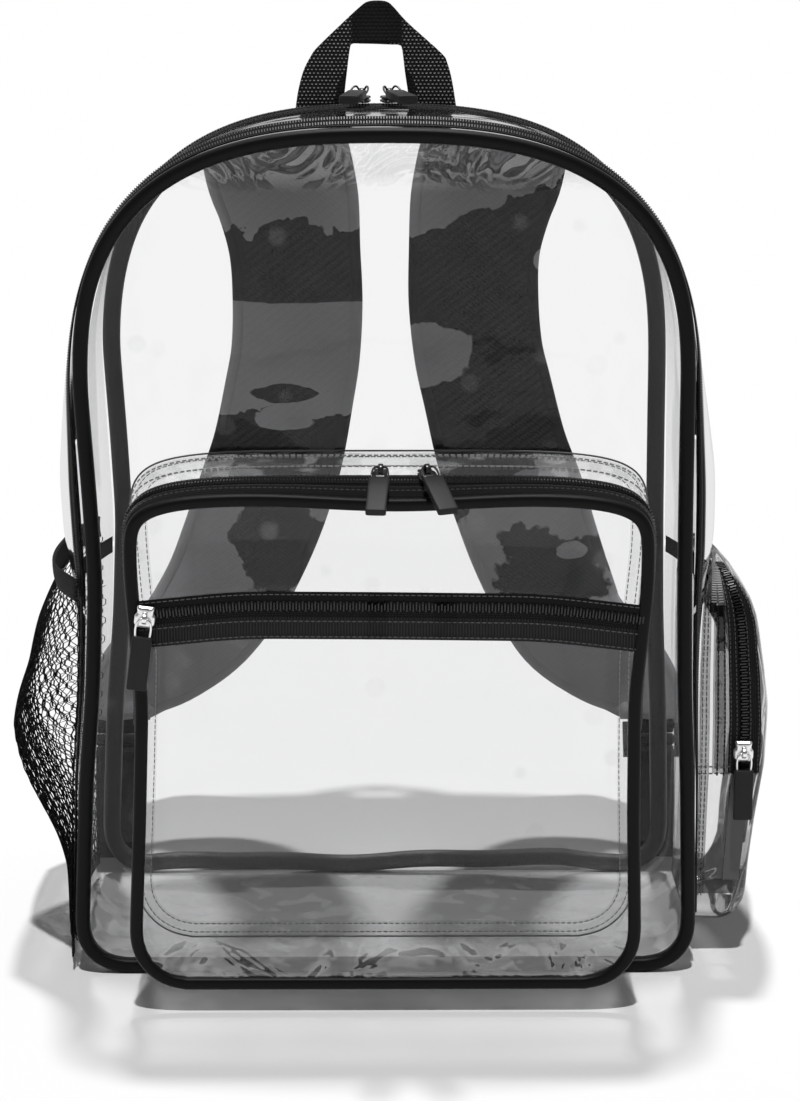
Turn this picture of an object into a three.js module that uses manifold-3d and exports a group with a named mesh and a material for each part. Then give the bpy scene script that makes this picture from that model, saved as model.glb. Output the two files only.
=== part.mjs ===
import * as THREE from "three";
import Module from "manifold-3d";

const wasm = await Module();
wasm.setup();
const { Manifold, CrossSection } = wasm;

// Sizes are in millimetres, with x to the right, y to the back and z up. The bag stands on z = 0.

// The whole bag
const bagHeight = 427;
const bagDepth = 150;
const baseHalfWidth = 157.5;
const gap = 0.3;
const sheetThickness = 1;
const tapeThickness = 1.2;

// The outline that both panels share
const springHeight = 300;
const archPower = 2.65;
const archSteps = 18;
const baseCorner = 24;
const cornerSteps = 4;
const seamHeight = 190;
const zipperEndHeight = 250;
const zipperEndStep = 6;
const outlineStops = [60, 215, 280];
const flatShares = [0, 1 / 3, 2 / 3];

// Half widths up the sides, as shares of the half width at the base
const sideTable = [
  { height: 24, left: 1.0, right: 1.0 },
  { height: 100, left: 0.975, right: 0.985 },
  { height: 150, left: 0.945, right: 0.968 },
  { height: 205, left: 0.928, right: 0.96 },
  { height: 250, left: 0.94, right: 0.957 },
  { height: 300, left: 0.958, right: 0.955 },
];
// How far the gusset swells half way back, by height
const swellTable = [
  { height: 0, out: 0 },
  { height: 24, out: 1.5 },
  { height: 100, out: 6 },
  { height: 190, out: 13 },
  { height: 215, out: 18 },
  { height: 250, out: 18 },
  { height: 280, out: 14 },
  { height: 310, out: 9 },
  { height: 335, out: 4 },
  { height: 360, out: 0 },
  { height: 395, out: -2 },
  { height: 427, out: 1.5 },
];

// Piping
const frontBindingWidth = 7.5;
const frontBindingDepth = 7;
const backBindingWidth = 9.5;
const backBindingDepth = 7;
const pipingChamfer = 0.22;

// Main zipper, placed between the two upper gusset strips
const zipperFront = 22;
const zipperBack = 50;
const coilWidth = 5;
const coilHeight = 1.4;

// Tapes inside the gusset
const seamTapeWidth = 10;
const sideTapeWidth = 9;

// Front pocket
const pocketDepth = 50;
const pocketHalfWidth = 125;
const pocketBase = 12;
const pocketTop = 262;
const pocketSpring = 226;
const pocketPower = 5;
const pocketArchSteps = 14;
const pocketCorner = 28;
const pocketRise = 8.5;
const pocketZipperEnd = 138;
const pocketEndStep = 5;
const pocketStop = 190;
const pocketBindingWidth = 6.4;
const pocketBindingDepth = 6;
const pocketZipperWidth = 15.6;
const pocketFlangeWidth = 7;
const pocketPanelInset = 1.7;
const pocketSideTable = [
  { height: 40, left: 1.0, right: 1.0 },
  { height: 100, left: 0.975, right: 0.985 },
  { height: 160, left: 0.955, right: 0.98 },
  { height: 215, left: 0.985, right: 1.02 },
  { height: 226, left: 0.988, right: 1.02 },
];

// Cross zipper on the pocket's face
const crossTop = 213.5;
const crossZipperHeight = 12.6;
const crossStripHeight = 10;
const crossCoilDrop = 4.5;
const crossShares = [-1, -0.78, -0.55, -0.28, 0, 0.3, 0.6, 0.8, 1];
const crossBow = [
  { across: -1, lift: -5 },
  { across: -0.55, lift: 0.5 },
  { across: 0, lift: 0 },
  { across: 0.6, lift: -1 },
  { across: 1, lift: -7 },
];

// Handle, as an arch of webbing in one plane
const handleThickness = 2.2;
const handleMiddle = -4;
const handleOutside = [
  { across: 43, up: 418 },
  { across: 41, up: 432 },
  { across: 36, up: 449 },
  { across: 26, up: 461 },
  { across: 11, up: 476 },
  { across: 0, up: 479 },
];
const handleInside = [
  { across: 17, up: 418 },
  { across: 17, up: 430 },
  { across: 13, up: 456 },
  { across: 0, up: 458 },
];

// Lower strap webbing with its ladder lock
const webbingWidth = 25;
const webbingThickness = 1.6;
const lockWidth = 32;
const lockHeight = 20;
const lockThickness = 4;
const lockBar = 3.6;
const lockSide = 2.6;
const lockLean = 30;
const lockPlace = { across: 152, back: 119, up: 62 };
const webbingRoot = [
  { across: 149, back: 0, up: 7 },
  { across: 149, back: 0, up: 16 },
  { across: 151, back: 19, up: 34 },
];
// How the webbing turns over the lock's lowest bar, measured through the lock and up it
const webbingWrap = [
  { through: -3.4, up: -14 },
  { through: -3.3, up: -8 },
  { through: -2.5, up: -5.2 },
  { through: 0, up: -4.6 },
  { through: 2.5, up: -5.2 },
  { through: 3.3, up: -8 },
  { through: 3.5, up: -14 },
];
// The loose end under the lock, measured from the lock
const webbingFreeEnd = [
  { across: 0, back: -3.6, up: -32 },
  { across: 0, back: -3.1, up: -52 },
];

// Shoulder pads, from the yoke down. Their depth starts from where they lie on the piping.
// The right pad hangs further out by its own column.
const padThickness = 8;
const padRounding = 0.3;
const padPath = [
  { across: 57, right: 0, back: 0, up: 405, wide: 84 },
  { across: 55, right: 0, back: 0, up: 390, wide: 80 },
  { across: 51, right: 0, back: 2, up: 372, wide: 74 },
  { across: 48, right: 0, back: 7, up: 347, wide: 69 },
  { across: 47, right: 1, back: 13, up: 319, wide: 69 },
  { across: 48.5, right: 2.5, back: 20, up: 290, wide: 69 },
  { across: 52.5, right: 4, back: 28, up: 266, wide: 70 },
  { across: 59.5, right: 5.5, back: 41, up: 231, wide: 72 },
  { across: 69, right: 6.5, back: 54, up: 200, wide: 74 },
  { across: 79.5, right: 5.5, back: 65, up: 171, wide: 73 },
  { across: 91.5, right: 4, back: 72, up: 144, wide: 70 },
];
// The pad's lower end, measured from the lock that it hangs on
const padTail = [
  { across: -45, back: 34.3, up: 58.5, wide: 66 },
  { across: -27, back: 29.3, up: 42.5, wide: 59 },
  { across: -10.5, back: 21.3, up: 32, wide: 50 },
  { across: 0, back: 11.3, up: 20, wide: 39 },
];
const padEndWidth = 34;

// How far what is sewn to a side stands off it
const sideGap = 1.2;

// Mesh pocket on the left side
const meshFront = -64;
const meshBack = 64;
const meshBottom = 16;
const meshTop = seamHeight + 5;
const meshColumns = 7;
const meshRows = 13;
const meshStrand = 0.13;
const meshEdgeEase = 26;
const meshHemHeight = 8;
const meshBandHeight = 11;
// How far the elastic band stands off, from front to back
const meshBandTable = [
  { depth: -64, out: 0 },
  { depth: -50, out: 5.5 },
  { depth: -38, out: 7.5 },
  { depth: -16, out: 4 },
  { depth: 8, out: 1.5 },
  { depth: 22, out: 1.2 },
  { depth: 50, out: 0.8 },
  { depth: 64, out: 0 },
];
const meshPouch = [
  { height: 0, out: 3 },
  { height: 16, out: 5 },
  { height: 42, out: 6.5 },
  { height: 71, out: 18 },
  { height: 96, out: 26.5 },
  { height: 119, out: 32 },
  { height: 133, out: 30 },
  { height: 154, out: 24 },
  { height: 177, out: 13 },
  { height: 195, out: 5 },
];

// Clear pocket on the right side
const sidePocketFront = -52;
const sidePocketBack = 58;
const sidePocketBottom = 13;
const sidePocketTop = 203;
const sidePocketDepth = 31;
const sidePocketCorner = 24;
const sidePocketRings = [
  { size: 1, out: 0 },
  { size: 1, out: 0.88 },
  { size: 0.975, out: 0.97 },
  { size: 0.9, out: 1.01 },
  { size: 0.5, out: 1.08 },
  { size: 0.15, out: 1.1 },
];
// Its depth by height, as shares at its front and at its back
const sidePocketRamp = [
  { height: 13, front: 0.5, back: 0.5 },
  { height: 30, front: 0.7, back: 0.7 },
  { height: 48, front: 0.82, back: 0.82 },
  { height: 75, front: 0.94, back: 0.94 },
  { height: 100, front: 1, back: 1 },
  { height: 150, front: 1, back: 0.9 },
  { height: 176, front: 0.88, back: 0.65 },
  { height: 190, front: 0.62, back: 0.35 },
  { height: 203, front: 0.3, back: 0.1 },
];
const sideZipperHeights = [99, 125, 150, 168, 180, 190];
const sideZipperShare = { from: 0.45, to: 0.88 };
const sideStripShare = { from: 0.14, to: 0.42 };

// Sliders and pulls, one pair of sizes for all six
const sliderLength = 10;
const sliderWidth = 8;
const sliderHeight = 3.5;
const sliderStep = 0.9;
const sliderCrown = 0.5;
const sliderTaper = 1;
const barRadius = 0.7;
const barSides = 10;
const barLift = 1.6;
const bridgeWidth = 2.4;
const bridgeWall = 1;
const pullWidth = 9.4;
const pullThickness = 3.4;
const pullChamfer = 0.5;
const bailInset = 1.5;
const bailReach = 9;
const bailLap = 1;
const pullLength = 35;
const bailWire = 1.3;

// Where the sliders stand and how their pulls hang
const mainFasteners = [
  { suffix: "_left", across: -11.5, turn: -14, hang: 2 },
  { suffix: "_right", across: 2.5, turn: 18, hang: 2 },
];
const pocketFasteners = [
  { suffix: "_left", across: -2, turn: -4, hang: 24 },
  { suffix: "_right", across: 20, turn: 16, hang: 24 },
];
const crossSliderX = -113.4;
const crossSliderTurn = -7.5;
const sideSliderZ = 112.5;

const palette = {
  clear: { color: "#e9edef", roughness: 0.08, metalness: 0 },
  piping: { color: "#17181a", roughness: 0.45, metalness: 0 },
  tape: { color: "#1b1b1d", roughness: 0.8, metalness: 0 },
  webbing: { color: "#1a1a1b", roughness: 0.85, metalness: 0 },
  pad: { color: "#3a3a3e", roughness: 0.9, metalness: 0 },
  mesh: { color: "#161617", roughness: 0.8, metalness: 0 },
  dark: { color: "#2b2c2e", roughness: 0.4, metalness: 0 },
  nickel: { color: "#b9bbbd", roughness: 0.25, metalness: 1 },
  plastic: { color: "#151516", roughness: 0.5, metalness: 0 },
};
const materials = Object.fromEntries(
  Object.entries(palette).map(([name, look]) => [name, new THREE.MeshStandardMaterial({ name, ...look })]),
);

const bag = new THREE.Group();
bag.name = "clear_backpack";

const at = (x, y, z) => new THREE.Vector3(x, y, z);

// Reads a column of a table at a height or a share, straight between its rows.
function read(table, key, value, column) {
  let before = table[0];
  for (const row of table) {
    if (row[key] > value) {
      const share = (value - before[key]) / (row[key] - before[key] || 1);
      return before[column] + (row[column] - before[column]) * Math.max(0, share);
    }
    before = row;
  }
  return before[column];
}

// A closed geometry whose faces point outward.
function closed(points, faces) {
  let volume = 0;
  for (const [a, b, c] of faces) {
    volume += points[a].dot(points[b].clone().cross(points[c]));
  }
  const index = faces.flatMap(([a, b, c]) => (volume > 0 ? [a, b, c] : [a, c, b]));
  const geometry = new THREE.BufferGeometry();
  const flat = points.flatMap((p) => [p.x, p.y, p.z]);
  geometry.setAttribute("position", new THREE.Float32BufferAttribute(flat, 3));
  geometry.setIndex(index);
  geometry.computeVertexNormals();
  return geometry;
}

// Joins equal rings of points one after another. A wrapped one has no ends, and an open one is capped.
function loft(rings, wrapped = false) {
  const m = rings[0].length;
  const points = rings.flat();
  const faces = [];
  const last = wrapped ? rings.length : rings.length - 1;
  for (let i = 0; i < last; i++) {
    const here = i * m;
    const next = ((i + 1) % rings.length) * m;
    for (let j = 0; j < m; j++) {
      const k = (j + 1) % m;
      faces.push([here + j, next + j, next + k], [here + j, next + k, here + k]);
    }
  }
  if (!wrapped) {
    const far = (rings.length - 1) * m;
    for (let j = 0; j < m / 2 - 1; j++) {
      const back = m - 1 - j;
      faces.push([j, j + 1, back - 1], [j, back - 1, back]);
      faces.push([far + j, far + back - 1, far + j + 1], [far + j, far + back, far + back - 1]);
    }
  }
  return closed(points, faces);
}

// A solid joined or cut from others, as a geometry.
function fromSolid(solid) {
  const mesh = solid.getMesh();
  const geometry = new THREE.BufferGeometry();
  const stride = mesh.numProp;
  const flat = [];
  for (let i = 0; i < mesh.vertProperties.length; i += stride) {
    flat.push(mesh.vertProperties[i], mesh.vertProperties[i + 1], mesh.vertProperties[i + 2]);
  }
  geometry.setAttribute("position", new THREE.Float32BufferAttribute(flat, 3));
  geometry.setIndex([...mesh.triVerts]);
  geometry.computeVertexNormals();
  return geometry;
}

const box = (dx, dy, dz, x = 0, y = 0, z = 0) => Manifold.cube([dx, dy, dz], true).translate([x, y, z]);

// A flat plate in the x and z plane between two depths.
function plate(polygon, front, back) {
  const flat = new CrossSection([polygon], "EvenOdd");
  return Manifold.extrude(flat, back - front).rotate([90, 0, 0]).translate([0, back, 0]);
}

function add(name, geometry, look, parent = bag) {
  const mesh = new THREE.Mesh(geometry, materials[look]);
  mesh.name = name;
  parent.add(mesh);
  return mesh;
}

// Points round an outline with their outward normals, starting at the middle of the base and going right.
function outline({ half, base, corner, spring, top, power, steps, table, stops }) {
  const points = [];
  const width = (side, z) => half * read(table, "height", z, side);
  const levels = [...new Set([...table.map((row) => row.height), ...stops])]
    .filter((z) => z > base + corner && z < spring)
    .sort((a, b) => a - b);
  const flat = half - corner;
  for (const share of flatShares) points.push([flat * share, base]);
  for (let i = 0; i <= cornerSteps; i++) {
    const turn = (i / cornerSteps - 1) * (Math.PI / 2);
    points.push([flat + corner * Math.cos(turn), base + corner * (1 + Math.sin(turn))]);
  }
  for (const z of levels) points.push([width("right", z), z]);
  for (let i = 0; i <= steps; i++) {
    const turn = (i / steps) * Math.PI;
    const side = width(turn < Math.PI / 2 ? "right" : "left", spring);
    const c = Math.abs(Math.cos(turn)) / side;
    const s = Math.abs(Math.sin(turn)) / (top - spring);
    const reach = (c ** power + s ** power) ** (-1 / power);
    points.push([reach * Math.cos(turn), spring + reach * Math.sin(turn)]);
  }
  for (const z of levels.reverse()) points.push([-width("left", z), z]);
  for (let i = cornerSteps; i >= 0; i--) {
    const turn = (i / cornerSteps - 1) * (Math.PI / 2);
    points.push([-flat - corner * Math.cos(turn), base + corner * (1 + Math.sin(turn))]);
  }
  for (const share of flatShares.slice(1).reverse()) points.push([-flat * share, base]);
  return points.map(([x, z], i) => {
    const [bx, bz] = points[(i + points.length - 1) % points.length];
    const [cx, cz] = points[(i + 1) % points.length];
    const before = new THREE.Vector2(x - bx, z - bz).normalize();
    const after = new THREE.Vector2(cx - x, cz - z).normalize();
    const along = before.add(after).normalize();
    return { x, z, nx: along.y, nz: -along.x };
  });
}

const moved = (p, out) => [p.x + p.nx * out, p.z + p.nz * out];

// Piping round an outline: its section lies inside the outline, and its edge toward its face is rounded.
function piping(ring, width, face, back) {
  const c = pipingChamfer;
  const section = [[0, 2 * c], [0, 1], [1, 1], [1, 0], [2 * c, 0], [c / 2, c / 2]];
  const rings = ring.map((p) =>
    section.map(([inward, along]) => {
      const [x, z] = moved(p, -width * inward);
      return at(x, face + (back - face) * along, z);
    }),
  );
  return loft(rings, true);
}

// A strip that follows a ring of the outline. Its columns give each bend's depth and height off the ring.
function strip(rows, columns, thickness, place, wrapped = false) {
  const rings = rows.map((p) => {
    const depths = typeof columns === "function" ? columns(p) : columns;
    const outside = depths.map(({ y, off = 0 }) => place(p, y, off));
    const inside = depths.map(({ y, under = 0 }) => place(p, y, under - thickness)).reverse();
    return [...outside, ...inside];
  });
  return loft(rings, wrapped);
}

// A zipper's tape with its raised coil down the middle.
function zipperColumns(front, back) {
  const middle = (front + back) / 2;
  const half = coilWidth / 2;
  return [
    { y: front },
    { y: middle - half - gap },
    { y: middle - half, off: coilHeight },
    { y: middle + half, off: coilHeight },
    { y: middle + half + gap },
    { y: back },
  ];
}

const evenly = (front, back, count) =>
  Array.from({ length: count }, (_, i) => ({ y: front + ((back - front) * i) / (count - 1) }));

// The bag's outline and where things lie on its gusset
const ring = outline({
  half: baseHalfWidth,
  base: 0,
  corner: baseCorner,
  spring: springHeight,
  top: bagHeight,
  power: archPower,
  steps: archSteps,
  table: sideTable,
  stops: [
    ...outlineStops,
    seamHeight - gap / 2,
    seamHeight + gap / 2,
    zipperEndHeight,
    zipperEndHeight + zipperEndStep,
  ],
});
const halfDepth = bagDepth / 2;
const gussetFront = -halfDepth + frontBindingDepth + gap;
const gussetBack = halfDepth - backBindingDepth - gap;
const seamTapeBack = gussetFront + seamTapeWidth;
// The depths at which every sheet of the gusset bends, so that tapes lie against it
const midBends = [-halfDepth / 2, -halfDepth / 8];
const bends = [gussetFront, seamTapeBack, ...midBends, zipperFront, zipperBack, gussetBack];
const swellShape = bends.map((y) => ({ y, share: 1 - (y / halfDepth) ** 2 }));
const swell = (z, y) => read(swellTable, "height", z, "out") * read(swellShape, "y", y, "share");
const columnsBetween = (front, back) => [front, ...bends.filter((y) => y > front && y < back), back]
  .map((y) => ({ y }));
function onGusset(p, y, off) {
  const [x, z] = moved(p, off + swell(p.z, y));
  return at(x, y, z);
}
const upperRows = ring.filter((p) => p.z > seamHeight);
const lowerFrom = ring.findIndex((p, i) => i > ring.length / 2 && p.z < seamHeight);
const lowerRows = [...ring.slice(lowerFrom), ...ring.filter((p, i) => i < lowerFrom && p.z < seamHeight)];
const aboveZipperEnd = (p) => p.z > zipperEndHeight + zipperEndStep / 2;
const zipperRows = ring.filter(aboveZipperEnd);

// Panels and gusset
const inner = (points, width) => points.map((p) => moved(p, -width - gap));
const panelInset = 2.5;
const panelFront = -halfDepth + panelInset;
const panelBack = halfDepth - panelInset - sheetThickness;
for (const [name, width, front] of [
  ["front_panel", frontBindingWidth, panelFront],
  ["back_panel", backBindingWidth, panelBack],
]) {
  add(name, fromSolid(plate(inner(ring, width), front, front + sheetThickness)), "clear");
}
add(
  "gusset_front",
  strip(upperRows, columnsBetween(gussetFront, zipperFront - gap), sheetThickness, onGusset),
  "clear",
);
// The rear strip narrows where the zipper starts, in as many columns as below it
const rearColumns = (p) =>
  aboveZipperEnd(p) ? evenly(zipperBack + gap, gussetBack, 3) : columnsBetween(zipperFront, gussetBack);
add("gusset_rear", strip(upperRows, rearColumns, sheetThickness, onGusset), "clear");
const fullColumns = columnsBetween(gussetFront, gussetBack);
add("gusset_lower", strip(lowerRows, fullColumns, sheetThickness, onGusset), "clear");
add("front_binding", piping(ring, frontBindingWidth, -halfDepth, -halfDepth + frontBindingDepth), "piping");
add("back_binding", piping(ring, backBindingWidth, halfDepth, halfDepth - backBindingDepth), "piping");
const underSheet = -sheetThickness - 2 * gap;
add(
  "front_seam_tape",
  strip(
    ring,
    columnsBetween(gussetFront, seamTapeBack),
    tapeThickness,
    (p, y, off) => onGusset(p, y, off + underSheet),
    true,
  ),
  "tape",
);
add(
  "main_zipper",
  strip(zipperRows, zipperColumns(zipperFront, zipperBack), tapeThickness, onGusset),
  "tape",
);

// The bag's side as a surface: how far out it is at a height and a depth
function sideReach(side, y, z) {
  const fall = Math.max(0, baseCorner - z);
  const corner = baseCorner - Math.sqrt(baseCorner ** 2 - fall ** 2);
  return baseHalfWidth * read(sideTable, "height", z, side) - corner + swell(z, y);
}

// A sheet beside the bag from a grid of places. Each gives its depth, height and reach from the middle.
function sideSheet(direction, grid, thickness) {
  const rings = grid.map((row) => {
    const outside = row.map(([y, z, reach]) => at(direction * reach, y, z));
    const inside = row.map(([y, z, reach]) => at(direction * (reach - thickness), y, z)).reverse();
    return [...outside, ...inside];
  });
  return loft(rings);
}

const bothSides = [["left", -1], ["right", 1]];
for (const [side, direction] of bothSides) {
  const depths = columnsBetween(seamTapeBack + gap, gussetBack).map(({ y }) => y);
  const heights = [seamHeight - sideTapeWidth / 2, seamHeight + sideTapeWidth / 2];
  const grid = depths.map((y) =>
    heights.map((z) => [y, z, sideReach(side, y, z) - sheetThickness - 2 * gap]),
  );
  add(`side_seam_tape_${side}`, sideSheet(direction, grid, sheetThickness), "tape");
}

// Handle
const mirrored = (rows, middle) => [
  ...rows.map(({ across, up }) => [middle + across, up]),
  ...rows.slice(0, -1).reverse().map(({ across, up }) => [middle - across, up]),
];
const handleFront = halfDepth + gap;
add(
  "handle",
  fromSolid(
    plate(
      [...mirrored(handleOutside, handleMiddle), ...mirrored(handleInside, handleMiddle).reverse()],
      handleFront,
      handleFront + handleThickness,
    ),
  ),
  "webbing",
);

// A flat band along a path: each place has its middle, its width and its thickness.
function band(places, thickness, rounding) {
  const rings = places.map(({ p, wide }, i) => {
    const before = places[Math.max(0, i - 1)].p;
    const after = places[Math.min(places.length - 1, i + 1)].p;
    const along = after.clone().sub(before).normalize();
    const across = at(0, 1, 0).cross(along).normalize();
    const out = along.cross(across).normalize();
    const half = wide / 2;
    const thick = thickness / 2;
    const r = rounding * thickness;
    const section = [
      [-half, thick - r], [-half + r, thick], [half - r, thick], [half, thick - r],
      [half, r - thick], [half - r, -thick], [r - half, -thick], [-half, r - thick],
    ];
    return section.map(([a, b]) => p.clone().addScaledVector(across, a).addScaledVector(out, b));
  });
  return loft(rings);
}

// The lower webbing turns back over its bar, so its width stays level and lies along x.
function ribbon(places, thickness, width) {
  const half = width / 2;
  const rings = places.map((p, i) => {
    const before = places[Math.max(0, i - 1)];
    const after = places[Math.min(places.length - 1, i + 1)];
    const along = after.clone().sub(before).setX(0).normalize();
    const out = at(0, -along.z, along.y).multiplyScalar(thickness / 2);
    return [
      p.clone().add(out).add(at(-half, 0, 0)),
      p.clone().add(out).add(at(half, 0, 0)),
      p.clone().sub(out).add(at(half, 0, 0)),
      p.clone().sub(out).add(at(-half, 0, 0)),
    ];
  });
  return loft(rings);
}

const padRest = halfDepth + gap + padThickness / 2;
const webbingRest = halfDepth + gap + webbingThickness / 2;
const lean = THREE.MathUtils.degToRad(-lockLean);
for (const [side, direction] of bothSides) {
  const shift = (row, from = 0) => {
    const extra = direction > 0 && row.right ? row.right : 0;
    return at(direction * (row.across + extra), from + row.back, row.up);
  };
  const fromLock = (row) => shift(row).add(shift(lockPlace));
  const lockTop = at(0, 0, lockHeight / 2 + gap).applyAxisAngle(at(1, 0, 0), lean).add(shift(lockPlace));
  const places = [
    ...padPath.map((row) => ({ p: shift(row, padRest), wide: row.wide })),
    ...padTail.map((row) => ({ p: fromLock(row), wide: row.wide })),
    { p: lockTop, wide: padEndWidth },
  ];
  add(`strap_pad_${side}`, band(places, padThickness, padRounding), "pad");
  const wrap = webbingWrap.map(({ through, up }) =>
    at(0, through, up).applyAxisAngle(at(1, 0, 0), lean).add(shift(lockPlace)),
  );
  const root = webbingRoot.map((row) => shift(row, webbingRest));
  const path = [...root, ...wrap, ...webbingFreeEnd.map(fromLock)];
  add(`strap_webbing_${side}`, ribbon(path, webbingThickness, webbingWidth), "webbing");
  const window = (lockHeight - 3 * lockBar) / 2;
  let lock = box(lockWidth, lockThickness, lockHeight);
  for (const way of [-1, 1]) {
    const middle = way * (window + lockBar) / 2;
    lock = lock.subtract(box(lockWidth - 2 * lockSide, 2 * lockThickness, window, 0, 0, middle));
  }
  const lockMesh = add(`strap_adjuster_${side}`, fromSolid(lock), "plastic");
  lockMesh.position.copy(shift(lockPlace));
  lockMesh.rotation.x = lean;
}

// Front pocket
const pocketRing = outline({
  half: pocketHalfWidth,
  base: pocketBase,
  corner: pocketCorner,
  spring: pocketSpring,
  top: pocketTop,
  power: pocketPower,
  steps: pocketArchSteps,
  table: pocketSideTable,
  stops: [pocketZipperEnd, pocketZipperEnd + pocketEndStep, pocketStop],
});
const pocketFace = -halfDepth - pocketDepth;
const pocketBindingBack = pocketFace + pocketBindingDepth;
const pocketZipperFront = pocketBindingBack + gap;
const pocketZipperBack = pocketZipperFront + pocketZipperWidth;
const pocketBack = panelFront - gap;
function onPocket(p, y, off) {
  const [x, z] = moved(p, off);
  return at(x, y, z + (pocketRise * (y - pocketFace)) / pocketDepth);
}
const abovePocketEnd = (p) => p.z > pocketZipperEnd + pocketEndStep / 2;
add("pocket_binding", piping(pocketRing, pocketBindingWidth, pocketFace, pocketBindingBack), "piping");
add(
  "pocket_zipper",
  strip(
    pocketRing.filter(abovePocketEnd),
    zipperColumns(pocketZipperFront, pocketZipperBack),
    tapeThickness,
    onPocket,
  ),
  "tape",
);
add(
  "pocket_gusset",
  strip(
    pocketRing,
    (p) => evenly(abovePocketEnd(p) ? pocketZipperBack + gap : pocketZipperFront, pocketBack, 3),
    sheetThickness,
    onPocket,
    true,
  ),
  "clear",
);
add(
  "pocket_flange",
  strip(
    pocketRing,
    [{ y: pocketBack - sheetThickness }, { y: pocketBack }],
    pocketFlangeWidth,
    (p, y, off) => onPocket(p, y, off - sheetThickness - gap),
    true,
  ),
  "clear",
);

// The pocket's face, cut along the bowed cross zipper
const facePolygon = inner(pocketRing, pocketBindingWidth);
const faceFront = pocketFace + pocketPanelInset;
const face = plate(facePolygon, faceFront, faceFront + sheetThickness);
const bow = (x) => read(crossBow, "across", x / pocketHalfWidth, "lift");
const bowStations = crossShares.map((share) => share * pocketHalfWidth);
function bowed(low, high, front, back) {
  const polygon = [
    ...bowStations.map((x) => [x, low + bow(x)]),
    ...bowStations.slice().reverse().map((x) => [x, high + bow(x)]),
  ];
  return plate(polygon, front, back);
}
const crossMiddle = crossTop - crossZipperHeight;
const crossBottom = crossMiddle - gap - crossStripHeight;
const above = pocketTop + pocketCorner;
for (const [name, low, high] of [
  ["pocket_panel_upper", crossTop + gap, above],
  ["pocket_panel_lower", -above, crossBottom - gap],
]) {
  add(name, fromSolid(face.intersect(bowed(low, high, pocketFace, 0))), "clear");
}
const crossFront = faceFront - gap;
const faceSolid = plate(facePolygon, crossFront - 2 * coilHeight, crossFront + tapeThickness);
const coilTop = crossTop - crossCoilDrop;
const crossZipper = bowed(crossMiddle, crossTop, crossFront, crossFront + tapeThickness)
  .add(bowed(coilTop - coilWidth, coilTop, crossFront - coilHeight, crossFront + tapeThickness))
  .intersect(faceSolid);
add("pocket_cross_zipper", fromSolid(crossZipper), "tape");
const crossStrip = bowed(crossBottom, crossMiddle - gap, crossFront, crossFront + tapeThickness);
add("pocket_cross_strip", fromSolid(crossStrip.intersect(faceSolid)), "tape");

// Mesh pocket: a net sheet whose cells are each cut through by a diamond
function meshReach(y, z) {
  const edge = Math.min(1, (meshBack - Math.abs(y)) / meshEdgeEase);
  const pouch = read(meshPouch, "height", z, "out") * Math.sqrt(Math.max(0, edge));
  return sideReach("left", y, z) + sideGap + tapeThickness + pouch;
}
function net(columns, rows, thickness) {
  const points = [];
  const faces = [];
  const place = (u, v) => {
    const y = meshFront + ((meshBack - meshFront) * u) / columns;
    const z = meshBottom + ((meshTop - meshBottom) * v) / rows;
    const reach = meshReach(y, z);
    points.push(at(-reach, y, z), at(-reach + thickness, y, z));
    return points.length - 2;
  };
  const grid = [];
  for (let u = 0; u <= columns; u++) {
    grid.push([]);
    for (let v = 0; v <= rows; v++) grid[u].push(place(u, v));
  }
  const quadWall = (a, b) => faces.push([a, b, b + 1], [a, b + 1, a + 1]);
  for (let u = 0; u < columns; u++) {
    for (let v = 0; v < rows; v++) {
      const corners = [grid[u][v], grid[u + 1][v], grid[u + 1][v + 1], grid[u][v + 1]];
      const s = meshStrand;
      const diamond = [place(u + 0.5, v + s), place(u + 1 - s, v + 0.5), place(u + 0.5, v + 1 - s),
        place(u + s, v + 0.5)];
      for (let k = 0; k < 4; k++) {
        const n = (k + 1) % 4;
        faces.push([corners[k], corners[n], diamond[k]], [diamond[k], corners[n], diamond[n]]);
        faces.push([corners[n] + 1, corners[k] + 1, diamond[k] + 1]);
        faces.push([corners[n] + 1, diamond[k] + 1, diamond[n] + 1]);
        quadWall(diamond[k], diamond[n]);
      }
    }
  }
  for (let u = 0; u < columns; u++) {
    quadWall(grid[u + 1][0], grid[u][0]);
    quadWall(grid[u][rows], grid[u + 1][rows]);
  }
  for (let v = 0; v < rows; v++) {
    quadWall(grid[0][v], grid[0][v + 1]);
    quadWall(grid[columns][v + 1], grid[columns][v]);
  }
  return closed(points, faces);
}
add("mesh_pocket", net(meshColumns, meshRows, tapeThickness), "mesh");
const meshDepths = meshBandTable.map(({ depth }) => depth);
const bandBottom = meshTop + gap;
const bandTop = bandBottom + meshBandHeight;
add(
  "mesh_pocket_band",
  sideSheet(
    -1,
    meshDepths.map((y) =>
      [bandBottom, (bandBottom + bandTop) / 2, bandTop].map((z) => {
        const standoff = read(meshBandTable, "depth", y, "out");
        return [y, z, sideReach("left", y, z) + sideGap + 2 * tapeThickness + standoff];
      }),
    ),
    2 * tapeThickness,
  ),
  "webbing",
);
const hemTop = meshBottom - gap;
add(
  "mesh_pocket_hem",
  sideSheet(
    -1,
    meshDepths.map((y) =>
      [hemTop - meshHemHeight, hemTop].map((z) => [y, z, meshReach(y, meshBottom)]),
    ),
    tapeThickness,
  ),
  "tape",
);

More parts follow.
